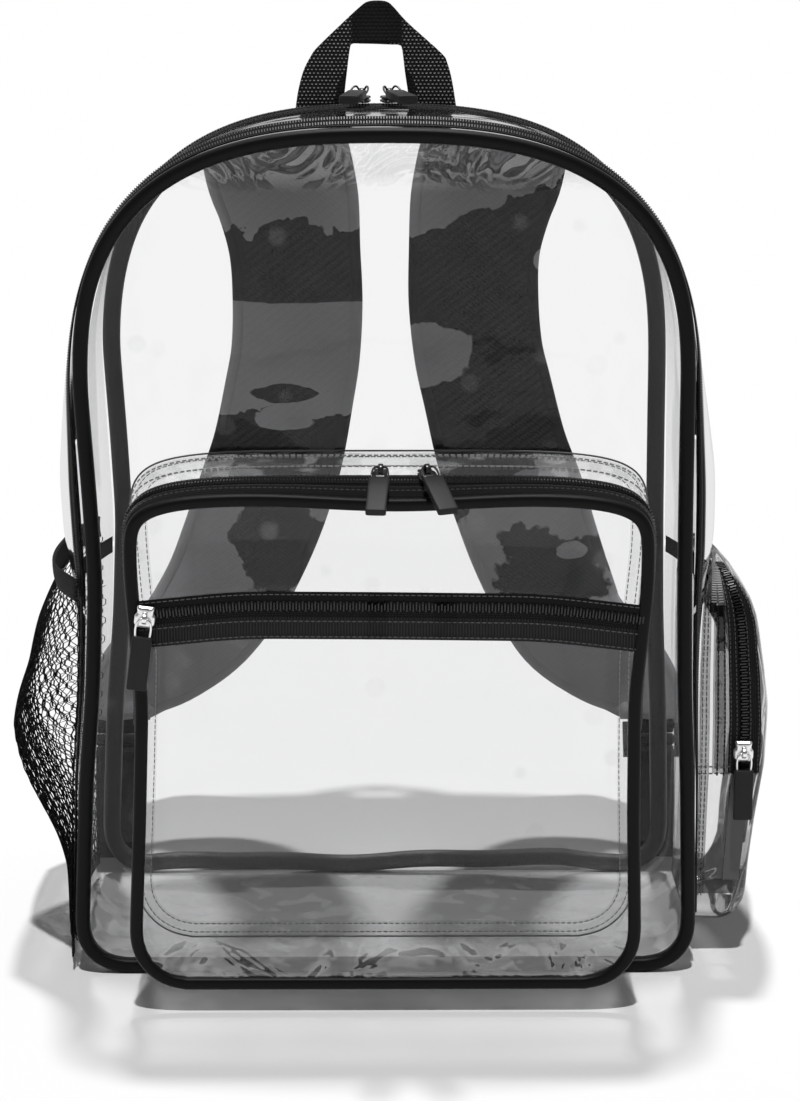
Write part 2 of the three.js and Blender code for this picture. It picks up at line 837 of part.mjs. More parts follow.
// Side pocket: a pouch from rings that grow smaller as they rise off the bag's side
const pouchMiddleY = (sidePocketFront + sidePocketBack) / 2;
const pouchMiddleZ = (sidePocketBottom + sidePocketTop) / 2;
function pouchOutline() {
  const points = [];
  const halfY = (sidePocketBack - sidePocketFront) / 2 - sidePocketCorner;
  const halfZ = (sidePocketTop - sidePocketBottom) / 2 - sidePocketCorner;
  for (const [signY, signZ, start] of [[1, 1, 0], [-1, 1, 1], [-1, -1, 2], [1, -1, 3]]) {
    for (let i = 0; i <= cornerSteps; i++) {
      const turn = (start + i / cornerSteps) * (Math.PI / 2);
      points.push([
        signY * halfY + sidePocketCorner * Math.cos(turn),
        signZ * halfZ + sidePocketCorner * Math.sin(turn),
      ]);
    }
    const [fromY, fromZ] = points[points.length - 1];
    const stepY = start % 2 === 0 ? -signY * halfY : 0;
    const stepZ = start % 2 === 0 ? 0 : -signZ * halfZ;
    points.push([fromY + stepY, fromZ + stepZ]);
  }
  return points;
}
function pouchReach(y, z, out) {
  const toBack = (y - sidePocketFront) / (sidePocketBack - sidePocketFront);
  const front = read(sidePocketRamp, "height", z, "front");
  const back = read(sidePocketRamp, "height", z, "back");
  const ramp = front + (back - front) * Math.min(1, Math.max(0, toBack));
  return sideReach("right", y, z) + sideGap + sidePocketDepth * ramp * out;
}
function pouch(thickness) {
  const path = pouchOutline();
  const crown = sidePocketRings[sidePocketRings.length - 1].out;
  const points = [];
  const faces = [];
  const m = path.length;
  for (const inside of [false, true]) {
    const wall = inside ? thickness : 0;
    for (const { size, out } of sidePocketRings) {
      for (const [py, pz] of path) {
        const long = Math.hypot(py, pz);
        const share = (size * long - wall) / long;
        const y = pouchMiddleY + py * share;
        const z = pouchMiddleZ + pz * share;
        const reach = pouchReach(y, z, out) - (out > 0 ? wall : 0);
        points.push(at(reach, y, z));
      }
    }
    points.push(at(pouchReach(pouchMiddleY, pouchMiddleZ, crown) - wall, pouchMiddleY, pouchMiddleZ));
  }
  const rings = sidePocketRings.length;
  const skin = rings * m + 1;
  for (const [start, flip] of [[0, false], [skin, true]]) {
    const push = (a, b, c) => faces.push(flip ? [a, c, b] : [a, b, c]);
    for (let k = 0; k < rings - 1; k++) {
      for (let j = 0; j < m; j++) {
        const n = (j + 1) % m;
        const here = start + k * m;
        push(here + j, here + n, here + m + n);
        push(here + j, here + m + n, here + m + j);
      }
    }
    const top = start + (rings - 1) * m;
    for (let j = 0; j < m; j++) push(top + j, top + ((j + 1) % m), start + rings * m);
  }
  for (let j = 0; j < m; j++) {
    const n = (j + 1) % m;
    faces.push([n, j, skin + j], [n, skin + j, skin + n]);
  }
  return closed(points, faces);
}
add("side_pocket", pouch(sheetThickness), "clear");
const sideTapeFront = sidePocketFront - gap - tapeThickness;
function frontTape(share, coil) {
  const rings = sideZipperHeights.map((z) => {
    const from = pouchReach(sidePocketFront, z, share.from);
    const to = pouchReach(sidePocketFront, z, share.to);
    const middle = (from + to) / 2;
    const back = sidePocketFront - gap;
    const raised = coil
      ? [
          [middle - coilWidth / 2 - gap, 0], [middle - coilWidth / 2, coilHeight],
          [middle + coilWidth / 2, coilHeight], [middle + coilWidth / 2 + gap, 0],
        ]
      : [];
    const outside = [[from, 0], ...raised, [to, 0]].map(([x, off]) => at(x, sideTapeFront - off, z));
    const inside = outside.map((p) => at(p.x, back, p.z)).reverse();
    return [...outside, ...inside];
  });
  return loft(rings);
}
add("side_pocket_zipper", frontTape(sideZipperShare, true), "tape");
add("side_pocket_strip", frontTape(sideStripShare, false), "tape");

// A slider's body with the bridge that holds the pull's bar. Its zipper lies under it, its pull toward -y.
const barHeight = sliderHeight + barLift;
function sliderSolid() {
  const shoulder = sliderHeight - sliderStep;
  const crown = [sliderLength - 2 * sliderTaper, sliderWidth * sliderCrown, sliderHeight];
  const body = box(sliderLength, sliderWidth, shoulder, 0, 0, shoulder / 2)
    .add(box(...crown, 0, 0, sliderHeight / 2));
  const room = barRadius + gap;
  const high = barLift + room + bridgeWall;
  const long = 2 * (room + bridgeWall);
  const bridge = box(bridgeWidth, long, high, 0, 0, sliderHeight + high / 2);
  const window = box(2 * bridgeWidth, 2 * room, 2 * room, 0, 0, barHeight);
  return body.add(bridge).subtract(window);
}
// A pull: the bar that turns in the bridge, two arms of wire and the moulded tab.
function pullSolid() {
  const barLength = pullWidth - 2 * bailInset;
  const bar = Manifold.cylinder(barLength, barRadius, barRadius, barSides, true).rotate([0, 90, 0]);
  const armX = (barLength - bailWire) / 2;
  const tabLength = pullLength - bailReach;
  let solid = bar;
  for (const way of [-1, 1]) {
    const long = bailReach + bailLap;
    solid = solid.add(box(bailWire, long, bailWire, way * armX, -long / 2 + bailWire / 2, 0));
  }
  const tabMiddle = -bailReach - tabLength / 2;
  const edge = 2 * pullChamfer;
  const tab = Manifold.hull([
    box(pullWidth, tabLength, pullThickness - edge, 0, tabMiddle, 0),
    box(pullWidth - edge, tabLength - edge, pullThickness, 0, tabMiddle, 0),
  ]);
  return solid.add(tab);
}
const sliderGeometry = fromSolid(sliderSolid());
const pullGeometry = fromSolid(pullSolid());

// Places a slider and its pull: tip turns the pair to face its zipper, and hang is the pull's own angle.
function fastener(prefix, suffix, place, { tip = 0, turn = 0, hang = 0, look = "dark", tab = "dark" }) {
  const pair = new THREE.Group();
  pair.position.copy(place);
  pair.rotation.set(THREE.MathUtils.degToRad(tip), 0, 0);
  const level = new THREE.Group();
  level.rotation.z = THREE.MathUtils.degToRad(turn);
  pair.add(level);
  bag.add(pair);
  add(`${prefix}_slider${suffix}`, sliderGeometry, look, level);
  const pull = add(`${prefix}_pull${suffix}`, pullGeometry, tab, level);
  pull.position.z = barHeight;
  pull.rotation.x = THREE.MathUtils.degToRad(hang);
}

const zipperMiddle = (zipperFront + zipperBack) / 2;
const onCoil = coilHeight + gap;
const topSwell = swell(bagHeight, zipperMiddle);
const mainTop = bagHeight + topSwell + onCoil;
for (const { suffix, across, turn, hang } of mainFasteners) {
  fastener("main", suffix, at(across, zipperMiddle, mainTop), { turn, hang });
}

const pocketZipperMiddle = (pocketZipperFront + pocketZipperBack) / 2;
const pocketTopHere = pocketTop + (pocketRise * (pocketZipperMiddle - pocketFace)) / pocketDepth + onCoil;
const pocketSlope = THREE.MathUtils.radToDeg(Math.atan(pocketRise / pocketDepth));
for (const { suffix, across, turn, hang } of pocketFasteners) {
  const place = at(across, pocketZipperMiddle, pocketTopHere);
  fastener("pocket", suffix, place, { tip: pocketSlope, turn, hang: hang - pocketSlope });
}

const crossSliderZ = coilTop - coilWidth / 2 + bow(crossSliderX);
const crossPlace = at(crossSliderX, crossFront - onCoil, crossSliderZ);
fastener("pocket_cross", "", crossPlace, { tip: 90, turn: crossSliderTurn, look: "nickel" });

const sideShare = (sideZipperShare.from + sideZipperShare.to) / 2;
const sideSliderX = pouchReach(sidePocketFront, sideSliderZ, sideShare);
const sidePlace = at(sideSliderX, sideTapeFront - onCoil, sideSliderZ);
fastener("side_pocket", "", sidePlace, { tip: 90, look: "nickel" });

export default bag;
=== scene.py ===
import math

import bpy
import numpy as np
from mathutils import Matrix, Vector


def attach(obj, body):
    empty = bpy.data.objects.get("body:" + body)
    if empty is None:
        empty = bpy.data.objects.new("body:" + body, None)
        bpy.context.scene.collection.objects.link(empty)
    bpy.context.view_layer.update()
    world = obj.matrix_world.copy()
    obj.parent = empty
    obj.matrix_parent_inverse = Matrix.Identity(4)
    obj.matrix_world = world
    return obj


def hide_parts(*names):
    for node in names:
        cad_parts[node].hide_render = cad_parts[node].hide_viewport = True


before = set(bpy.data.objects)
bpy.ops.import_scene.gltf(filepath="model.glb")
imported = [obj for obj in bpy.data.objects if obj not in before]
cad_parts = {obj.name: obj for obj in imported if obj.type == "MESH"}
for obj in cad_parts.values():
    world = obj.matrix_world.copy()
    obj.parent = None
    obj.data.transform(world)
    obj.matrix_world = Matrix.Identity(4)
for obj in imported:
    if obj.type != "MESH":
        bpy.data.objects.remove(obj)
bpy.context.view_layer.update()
MM = 0.001
scene = bpy.context.scene

# Sizes in millimetres, the same as the frame's
HEIGHT, HALF_DEPTH, HALF_BASE = 427.0, 75.0, 157.5
SEAM, ZIP_END, BASE_CORNER = 190.0, 250.0, 24
FACE, POCKET_RISE, POCKET_DEEP = -125.0, 8.5, 50
POCKET_HALF, POCKET_TOP, POCKET_ZIP_END = 125.0, 262, 141
SIDES = {
    "left": [(24, 1.0), (100, 0.975), (150, 0.945), (205, 0.928), (250, 0.94), (300, 0.958)],
    "right": [(24, 1.0), (100, 0.985), (150, 0.968), (205, 0.96), (250, 0.957), (300, 0.955)],
}
SWELL = [(0, 0), (24, 1.5), (100, 6), (190, 13), (215, 18.5), (250, 18.5), (280, 14), (310, 9), (335, 4), (360, 0),
         (395, -2), (427, 1.5)]
# How much smaller the back is than the front, by height
TAPER = [(0, 0), (300, 0), (350, 2.2), (400, 2.5), (427, 0.5)]
POCKET_SIDES = {
    "left": [(40, 1.0), (100, 0.975), (160, 0.955), (215, 0.985), (226, 0.988)],
    "right": [(40, 1.0), (100, 0.985), (160, 0.98), (215, 1.02), (226, 1.02)],
}


# Curves and grids


def curve(table, x, blur=0.06):
    """Reads a table smoothly: straight between its rows, then rounded over a share of its length."""
    xs, ys = np.array(table, float).T
    fine = np.linspace(xs[0], xs[-1], 401)
    got = np.interp(fine, xs, ys)
    k = max(1, int(401 * blur))
    padded = np.concatenate([2 * got[0] - got[k:0:-1], got, 2 * got[-1] - got[-2 : -k - 2 : -1]])
    kernel = np.hanning(2 * k + 3)[1:-1]
    soft = np.convolve(padded, kernel / kernel.sum(), "valid")[: len(fine)]
    return np.interp(x, fine, soft)


def even(points, count=None, pitch=None, closed=False):
    """The same line with its points evenly apart."""
    p = np.vstack([points, points[:1]]) if closed else np.asarray(points, float)
    run = np.concatenate([[0], np.cumsum(np.linalg.norm(np.diff(p, axis=0), axis=1))])
    count = count or max(2, int(round(run[-1] / pitch)) + (0 if closed else 1))
    at = np.linspace(0, run[-1], count + 1)[:-1] if closed else np.linspace(0, run[-1], count)
    return np.column_stack([np.interp(at, run, p[:, k]) for k in range(p.shape[1])])


def outline(half, base, corner, spring, top, power, sides, count=420):
    """Even points of an outline and their outward normals, from the base's middle to the right and round."""
    pts = [(0, base), (half - corner, base)]
    for t in np.linspace(-math.pi / 2, 0, 14)[1:]:
        pts.append((half - corner + corner * math.cos(t), base + corner * (1 + math.sin(t))))
    zs = np.arange(base + corner + 3, spring, 3.0)
    pts += [(half * curve(sides["right"], z), z) for z in zs]
    for t in np.linspace(0, math.pi, 120):
        a = half * (sides["right"] if t < math.pi / 2 else sides["left"])[-1][1]
        reach = (abs(math.cos(t) / a) ** power + abs(math.sin(t) / (top - spring)) ** power) ** (-1 / power)
        pts.append((reach * math.cos(t), spring + reach * math.sin(t)))
    pts += [(-half * curve(sides["left"], z), z) for z in zs[::-1]]
    for t in np.linspace(0, -math.pi / 2, 14):
        pts.append((corner - half - corner * math.cos(t), base + corner * (1 + math.sin(t))))
    p = even(np.array(pts), count, closed=True)
    for _ in range(6):
        p = 0.5 * p + 0.25 * (np.roll(p, 1, 0) + np.roll(p, -1, 0))
    p[:, 1] = np.where(p[:, 1] < base + 0.4, base, p[:, 1])
    d = np.roll(p, -1, 0) - np.roll(p, 1, 0)
    d /= np.linalg.norm(d, axis=1)[:, None]
    return np.column_stack([p, d[:, 1], -d[:, 0]])


BAG = outline(HALF_BASE, 0, BASE_CORNER, 300, HEIGHT, 2.65, SIDES)
POCKET = outline(POCKET_HALF, 12, 28, 226, POCKET_TOP, 5, POCKET_SIDES, 360)
# The pocket's top front edge sags under its sliders
POCKET_SAG, SAG_PLACE, SAG_WIDTH = 3.2, 6.0, 48.0
SHEET_RINGS, STITCH_LIFT = 22, 0.15
BOTH_SIDES = (("left", -1), ("right", 1))
FORWARD = (0, -1, 0)


def taper(z):
    return curve(TAPER, z)


def swell(z, y):
    share = (np.asarray(y) + HALF_DEPTH) / (2 * HALF_DEPTH)
    return curve(SWELL, z, 0.04) * (1 - (np.asarray(y) / HALF_DEPTH) ** 2) - taper(z) * share


def sag(x, y, z):
    """How far the pocket's top edge hangs down at a place."""
    front = np.clip((-108 - y) / 15, 0, 1)
    return POCKET_SAG * np.exp(-(((x - SAG_PLACE) / SAG_WIDTH) ** 2)) * front * np.clip((z - 225) / 30, 0, 1)


def outward(rows, far):
    """The rows' x and z, moved so far outward."""
    return rows[:, :1] + rows[:, 2:3] * far, rows[:, 1:2] + rows[:, 3:] * far


def on_bag(rows, y, off=0.0):
    """Places on the gusset at each row and depth, so far off it."""
    y, off = np.broadcast_arrays(np.asarray(y, float), off)
    x, z = outward(rows, off[None, :] + swell(rows[:, 1:2], y[None, :]))
    return np.stack([x, np.broadcast_to(y, x.shape), z], axis=2)


def pocket_lift(y):
    """The pocket rises from its face to the front panel."""
    return POCKET_RISE * (y - FACE) / POCKET_DEEP


def on_pocket(rows, y, off=0.0):
    y, off = np.broadcast_arrays(np.asarray(y, float), off)
    x, z = outward(rows, off[None, :])
    z = z + pocket_lift(y[None, :])
    z = z - sag(x, y[None, :], z)
    return np.stack([x, np.broadcast_to(y, x.shape), z], axis=2)


def rows_above(ring, low):
    """The ring's rows above a height, in order."""
    return ring[ring[:, 1] > low]


def rows_below(ring, high):
    """The ring's rows below a height, in order from its left side."""
    start = np.argmax((np.arange(len(ring)) > len(ring) / 2) & (ring[:, 1] < high))
    rolled = np.roll(ring, -start, axis=0)
    return rolled[rolled[:, 1] < high]


def reach(side, y, z):
    """How far out a side of the bag is."""
    fall = np.maximum(0, BASE_CORNER - z)
    corner = BASE_CORNER - np.sqrt(BASE_CORNER**2 - fall**2)
    return HALF_BASE * curve(SIDES[side], np.maximum(z, BASE_CORNER)) - corner + swell(z, y)


# Meshes


def mesh(name, verts, faces, uv=None, smooth=True):
    me = bpy.data.meshes.new(name)
    me.from_pydata((np.asarray(verts) * MM).tolist(), [], [list(map(int, f)) for f in faces])
    if uv is not None:
        layer = me.uv_layers.new(name="UVMap")
        index = np.empty(len(me.loops), int)
        me.loops.foreach_get("vertex_index", index)
        layer.data.foreach_set("uv", np.asarray(uv, float)[index].ravel())
    if smooth:
        me.polygons.foreach_set("use_smooth", [True] * len(me.polygons))
    me.update()
    o = bpy.data.objects.new(name, me)
    scene.collection.objects.link(o)
    return o


def grid(name, p, wrap=False, flip=False):
    """A sheet through a grid of places. Its map is in metres along and across."""
    n, m = p.shape[:2]
    if wrap:
        p = np.concatenate([p, p[:1]], axis=0)
        n += 1
    u = np.zeros((n, m))
    u[1:] = np.cumsum(np.linalg.norm(np.diff(p, axis=0), axis=2), axis=0)
    u = np.repeat(u.mean(axis=1)[:, None], m, axis=1)
    v = np.zeros((n, m))
    v[:, 1:] = np.cumsum(np.linalg.norm(np.diff(p, axis=1), axis=2), axis=1)
    i, j = np.meshgrid(np.arange(n - 1), np.arange(m - 1), indexing="ij")
    a = (i * m + j).ravel()
    quads = np.column_stack([a, a + m, a + m + 1, a + 1])
    if flip:
        quads = quads[:, ::-1]
    return mesh(name, p.reshape(-1, 3), quads, np.column_stack([u.ravel(), v.ravel()]) * MM)


def sweep(name, sections, wrap=False):
    """A solid through equal closed sections one after another. Its map runs along and round."""
    p = np.asarray(sections)
    n, m = p.shape[:2]
    i, j = np.meshgrid(np.arange(n if wrap else n - 1), np.arange(m), indexing="ij")
    i, j = i.ravel(), j.ravel()
    faces = np.column_stack(
        [i * m + j, i * m + (j + 1) % m, ((i + 1) % n) * m + (j + 1) % m, ((i + 1) % n) * m + j]
    ).tolist()
    if not wrap:
        faces += [list(range(m))[::-1], [(n - 1) * m + k for k in range(m)]]
    centre = p.mean(axis=1)
    run = np.concatenate([[0], np.cumsum(np.linalg.norm(np.diff(centre, axis=0), axis=1))])
    ring = np.concatenate([[0], np.cumsum(np.linalg.norm(np.diff(p[0], axis=0), axis=1))])
    uv = np.column_stack([np.repeat(run, m), np.tile(ring, n)]) * MM
    o = mesh(name, p.reshape(-1, 3), faces, uv)
    me = o.data
    volume = sum((me.vertices[f.vertices[0]].co).dot(f.normal) * f.area for f in me.polygons)
    if volume < 0:
        me.flip_normals()
    return o


def bars(name, places, along, across, up, size, narrow):
    """Many small blocks, such as teeth or stitches: size is along, across and up, and each is narrower above."""
    k = np.array(
        [[-1, -1, -1], [1, -1, -1], [1, 1, -1], [-1, 1, -1], [-1, -1, 1], [1, -1, 1], [1, 1, 1], [-1, 1, 1]], float
    )
    k[4:, :2] *= narrow
    k *= np.array(size) / 2
    frame3 = np.stack([along, across, up], axis=1)
    verts = places[:, None, :] + np.einsum("ka,nab->nkb", k, frame3)
    f = np.array([[0, 3, 2, 1], [4, 5, 6, 7], [0, 1, 5, 4], [1, 2, 6, 5], [2, 3, 7, 6], [3, 0, 4, 7]])
    faces = (np.arange(len(places))[:, None, None] * 8 + f[None]).reshape(-1, 4)
    return mesh(name, verts.reshape(-1, 3), faces, smooth=False)


def unit(vectors):
    return vectors / np.linalg.norm(vectors, axis=1)[:, None]


def frames(line, up):
    """Unit vectors along, across and up at each point of a line."""
    along = unit(np.gradient(line, axis=0))
    across = unit(np.cross(np.broadcast_to(up, line.shape).astype(float), along))
    return along, across, np.cross(along, across)


def line_at(x, y, z):
    """A line from its places in each direction, any of which may stay the same."""
    return np.column_stack(np.broadcast_arrays(x, y, z))


def looped(ring):
    return np.vstack([ring, ring[:1]])


def carried(line, side, up, section):
    """A section at each point of a line, its first size to the side and its second up."""
    return line[:, None, :] + side[:, None, :] * section[..., :1] + up[:, None, :] * section[..., 1:]


def powered(values, power):
    return np.sign(values) * np.abs(values) ** power


def round_section(width, deep, sides=16, square=2.6):
    t = np.linspace(0, 2 * math.pi, sides, endpoint=False)
    return np.column_stack([width / 2 * powered(np.cos(t), 2 / square), deep / 2 * powered(np.sin(t), 2 / square)])


def spline(points, count):
    """A smooth line through points."""
    p = np.asarray(points, float)
    p = np.vstack([2 * p[0] - p[1], p, 2 * p[-1] - p[-2]])
    out = []
    steps = 24
    for i in range(1, len(p) - 2):
        for t in np.arange(steps) / steps:
            a, b, c, d = p[i - 1], p[i], p[i + 1], p[i + 2]
            out.append(
                0.5 * (2 * b + (c - a) * t + (2 * a - 5 * b + 4 * c - d) * t**2 + (3 * b - a - 3 * c + d) * t**3)
            )
    out.append(p[-2])
    return even(np.array(out), count)


# Materials


def material(name):
    m = bpy.data.materials.new(name)
    m.use_nodes = True
    t = m.node_tree
    t.nodes.clear()
    return m, t, node(t, "OutputMaterial")


def node(t, kind, inputs=None, **props):
    n = t.nodes.new(f"ShaderNode{kind}")
    for k, v in props.items():
        setattr(n, k, v)
    for k, v in (inputs or {}).items():
        if isinstance(v, bpy.types.NodeSocket):
            t.links.new(v, n.inputs[k])
        else:
            n.inputs[k].default_value = v
    return n


def maths(t, op, a, b=None, c=None):
    return node(t, "Math", {i: v for i, v in enumerate((a, b, c)) if v is not None}, operation=op).outputs[0]


def product(t, first, *others):
    for other in others:
        first = maths(t, "MULTIPLY", first, other)
    return first


def total(t, first, *others):
    for other in others:
        first = maths(t, "ADD", first, other)
    return first


def ranged(t, value, low, high, start=0.0, end=1.0):
    """The value carried from one range to another, and held at its ends."""
    ends = {"From Min": low, "From Max": high, "To Min": start, "To Max": end}
    return node(t, "MapRange", {"Value": value, **ends}).outputs[0]


def noise(t, vector, scale, **more):
    return node(t, "TexNoise", {"Vector": vector, "Scale": scale, **more}).outputs[0]


def bumped(t, height, strength, distance, **more):
    return node(t, "Bump", {"Height": height, "Strength": strength, "Distance": distance, **more}).outputs[0]


def parts_of(t, vector):
    return node(t, "SeparateXYZ", {0: vector}).outputs


def placed(t):
    """The place on the piece, in metres of the frame."""
    return node(t, "TexCoord").outputs["Object"]


def mapped(t):
    """The place on the piece's own map: along and across."""
    return parts_of(t, node(t, "UVMap", uv_map="UVMap").outputs[0])


def wave_of(t, value, pitch):
    """Rounded bumps, one to a pitch."""
    return maths(t, "ABSOLUTE", maths(t, "SINE", maths(t, "MULTIPLY", value, math.pi / pitch)))


def blend(t, factor, dark, light):
    ends = {k: (*([v] * 3 if np.isscalar(v) else v), 1) for k, v in (("A", dark), ("B", light))}
    return node(t, "Mix", {"Factor": factor, **ends}, data_type="RGBA").outputs["Result"]


def principled(t, out, colour, rough, specular=0.5, **more):
    if not isinstance(colour, bpy.types.NodeSocket):
        colour = (*([colour] * 3 if np.isscalar(colour) else colour), 1)
    base = {"Base Color": colour, "Roughness": rough, "Specular IOR Level": specular}
    p = node(t, "BsdfPrincipled", {**base, **more})
    t.links.new(p.outputs[0], out.inputs[0])
    return p


def vinyl(name, tint=0.955, wave=16.0, depth=0.5, ior=1.7, haze=0.0, rough=0.04, stretch=(1, 1, 1), spots=0.0,
          creased=None, misty=None, streaks=0.0, most=1.0):
    """Clear soft sheet: it lets what is behind it through and mirrors the studio in slow waves.
    It may have milky spots, upright streaks, a height band that is creased, and a height above which it is misty.
    most is the largest share of light that it mirrors."""
    m, t, out = material(name)
    place = placed(t)
    z = parts_of(t, place)[2]
    at = node(t, "Mapping", {"Vector": place, "Scale": stretch}).outputs[0]
    bump = bumped(t, noise(t, at, wave, Detail=2.0, Roughness=0.4), depth, 0.004)
    if creased:
        low, high, strength = creased
        soft = (high - low) * 0.2
        inside = product(t, ranged(t, z, low, low + soft), ranged(t, z, high, high - soft))
        folds = noise(t, place, 19.0, Detail=2.0, Distortion=2.4)
        bump = bumped(t, folds, product(t, inside, strength), 0.022, Normal=bump)
        ior = total(t, product(t, inside, 1.3), ior)
    share = maths(t, "MINIMUM", node(t, "Fresnel", {"IOR": ior, "Normal": bump}).outputs[0], most)
    clear = node(t, "BsdfTransparent", {"Color": (tint, tint * 1.001, tint * 1.003, 1)}).outputs[0]
    if haze or spots or misty or streaks:
        milk = node(t, "BsdfGlossy", {"Color": (0.8, 0.81, 0.82, 1), "Roughness": 0.6}).outputs[0]
        amount = haze
        if spots:
            cells = node(t, "TexVoronoi", {"Vector": place, "Scale": 38.0}).outputs
            few = maths(t, "GREATER_THAN", parts_of(t, cells["Color"])[0], 0.72)
            amount = total(t, product(t, ranged(t, cells["Distance"], 0.16, 0.24, 1.0, 0.0), few, spots), haze)
        if misty:
            low, high, dense = misty
            amount = total(t, ranged(t, z, low, high, 0.0, dense), amount)
        if streaks:
            tall = node(t, "Mapping", {"Vector": place, "Scale": (1.0, 1.0, 0.09)}).outputs[0]
            band = ranged(t, noise(t, tall, 62.0, Detail=1.5, Distortion=0.4), 0.53, 0.6)
            amount = total(t, product(t, band, streaks), amount)
        clear = node(t, "MixShader", {0: amount, 1: clear, 2: milk}).outputs[0]
    shine = node(t, "BsdfGlossy", {"Roughness": rough, "Normal": bump}).outputs[0]
    mix = node(t, "MixShader", {0: share, 1: clear, 2: shine})
    t.links.new(mix.outputs[0], out.inputs[0])
    return m


def plain(name, colour, rough, grain=0.0, scale=900.0, **more):
    m, t, out = material(name)
    if grain:
        more["Normal"] = bumped(t, noise(t, placed(t), scale, Detail=3.0), grain, 0.0004)
    principled(t, out, colour, rough, **more)
    return m


def woven(name, dark, light, pitch_u, pitch_v, rough=0.8, depth=0.6):
    """Basket weave from the piece's own map: threads as rounded bumps, with crowns painted lighter as painted sheen."""
    m, t, out = material(name)
    xyz = mapped(t)
    v = maths(t, "DIVIDE", xyz[1], pitch_v)
    u = maths(t, "DIVIDE", xyz[0], pitch_u)
    u = total(t, u, product(t, maths(t, "MODULO", maths(t, "FLOOR", v), 2.0), 0.5))
    crown = product(t, wave_of(t, u, 1.0), wave_of(t, v, 1.0))
    bump = bumped(t, crown, depth, 0.0005)
    # The crowns are painted lighter than the hollows: painted sheen
    colour = blend(t, ranged(t, crown, 0.55, 0.95), dark, light)
    principled(t, out, colour, rough, Normal=bump, specular=0.15)
    return m


def webbing_dots(name, pitch, row, inner):
    """Coarse handle webbing: level rows of small painted glints on its crowns, left out at its fold and, as painted
    shade, along its inner edge.
    """
    m, t, out = material(name)
    place = placed(t)
    x, _, z = parts_of(t, place)
    v = maths(t, "DIVIDE", z, row)
    u = maths(t, "DIVIDE", x, pitch)
    u = total(t, u, product(t, maths(t, "FLOORED_MODULO", maths(t, "FLOOR", v), 2.0), 0.5))
    a, b = wave_of(t, u, 1.0), wave_of(t, v, 1.0)
    beside = maths(t, "ABSOLUTE", total(t, x, 0.004))
    # legs: where the painted glints go; there are none at the fold over the top
    legs = maths(t, "MAXIMUM", ranged(t, beside, 0.0125, 0.0150), ranged(t, z, 0.458, 0.456))
    # Along the inner edge the glints are left out too: painted shade where the webbing turns away from the light
    legs = product(t, legs, maths(t, "LESS_THAN", mapped(t)[1], inner))
    # tip is the painted glint on each crown, of random strength
    tip = product(t, ranged(t, a, 0.62, 0.88), ranged(t, b, 0.82, 0.97), legs, product(t, noise(t, place, 240.0), 1.9))
    ridge = product(t, maths(t, "SINE", product(t, x, 2 * math.pi / 0.0013)), 0.15)
    bump = bumped(t, total(t, product(t, a, b), ridge), 0.8, 0.0005)
    colour = blend(t, tip, (0.006, 0.006, 0.0065), (0.42, 0.42, 0.43))
    principled(t, out, colour, 0.75, Normal=bump, specular=0.2)
    return m


def ribbed_cloth(name, pitch, dark, light):
    """A flat band with ribs across it, from its own map, their crowns painted lighter as painted sheen."""
    m, t, out = material(name)
    rib = wave_of(t, mapped(t)[0], pitch)
    bump = bumped(t, rib, 0.9, 0.0006)
    principled(t, out, blend(t, rib, dark, light), 0.6, Normal=bump, specular=0.3)
    return m


DULL = 0.12
CLEAR_FRONT = vinyl("clear front", tint=0.955, wave=7.0, depth=0.25, ior=1.3, spots=0.05)
CLEAR_BACK = vinyl("clear back", tint=0.95, wave=22.0, depth=0.7, ior=1.3, spots=0.08, creased=(0.380, 0.43, 1.0))
CLEAR_GUSSET = vinyl("clear gusset", tint=0.93, wave=9.0, depth=1.0, ior=1.6, stretch=(1.0, 2.2, 0.45), rough=0.08,
                     haze=0.08, misty=(0.385, 0.425, 0.5), streaks=0.2)
CLEAR_WALL = vinyl("clear wall", tint=0.94, wave=9.0, depth=0.3, ior=1.3, stretch=(1.0, 2.2, 0.6), haze=0.06,
                   streaks=0.2, most=0.14)
CLEAR_POUCH = vinyl("clear pouch", tint=0.88, wave=12.0, depth=1.2, ior=1.6, haze=0.03, stretch=(1.0, 1.6, 0.4))
CLEAR_POCKET = vinyl("clear pocket", tint=0.94, wave=9.0, depth=0.35, ior=1.32, haze=0.012, spots=0.08,
                     creased=(0.014, 0.04, 0.5))
CLEAR_LIP = vinyl("clear lip", tint=0.9, wave=30.0, depth=0.8, haze=0.03, ior=1.4)
SMOKED = vinyl("smoked strip", tint=0.42, wave=90.0, depth=1.0, ior=1.5, rough=0.1)
DEEP_SMOKED = vinyl("deep smoked", tint=0.2, wave=60.0, depth=1.0, ior=1.5, rough=0.1)
PIPING = plain("piping", 0.005, 0.42, 0.2, 260.0, specular=DULL)
BACK_PIPING = plain("back piping", 0.022, 0.5, 1.2, 420.0)
TAPE = woven("tape", 0.006, 0.03, 0.0010, 0.0010, 0.85, 0.4)
RIB = plain("rib", 0.035, 0.4, 0.2)
COIL = plain("coil", 0.010, 0.3)
THREAD = plain("thread", 0.085, 0.6)
CLEAR_THREAD = plain("clear thread", 0.3, 0.45)
HANDLE_WEB = webbing_dots("handle webbing", 0.0021, 0.0019, 0.0195)
CROSS_RIB = ribbed_cloth("cross rib", 0.0014, 0.004, 0.016)
BAND = woven("elastic band", 0.008, 0.03, 0.0016, 0.0011, 0.8, 0.6)
SMOOTH_WEB = plain("smooth webbing", 0.007, 0.6, 0.3, 700.0, specular=DULL)
GREY_BAND = plain("grey band", 0.08, 0.45, 0.3, 300.0)
NET = plain("net", 0.006, 0.5, specular=DULL)
PLASTIC = plain("plastic", 0.008, 0.4, 0.1, 400.0, specular=DULL)
PULL = plain("pull", 0.022, 0.45, 0.15, 500.0, specular=DULL)
DARK_METAL = plain("dark metal", 0.09, 0.28, Metallic=0.9)
NICKEL = plain("nickel", 0.9, 0.3, 0.05, 300.0, Metallic=1.0)


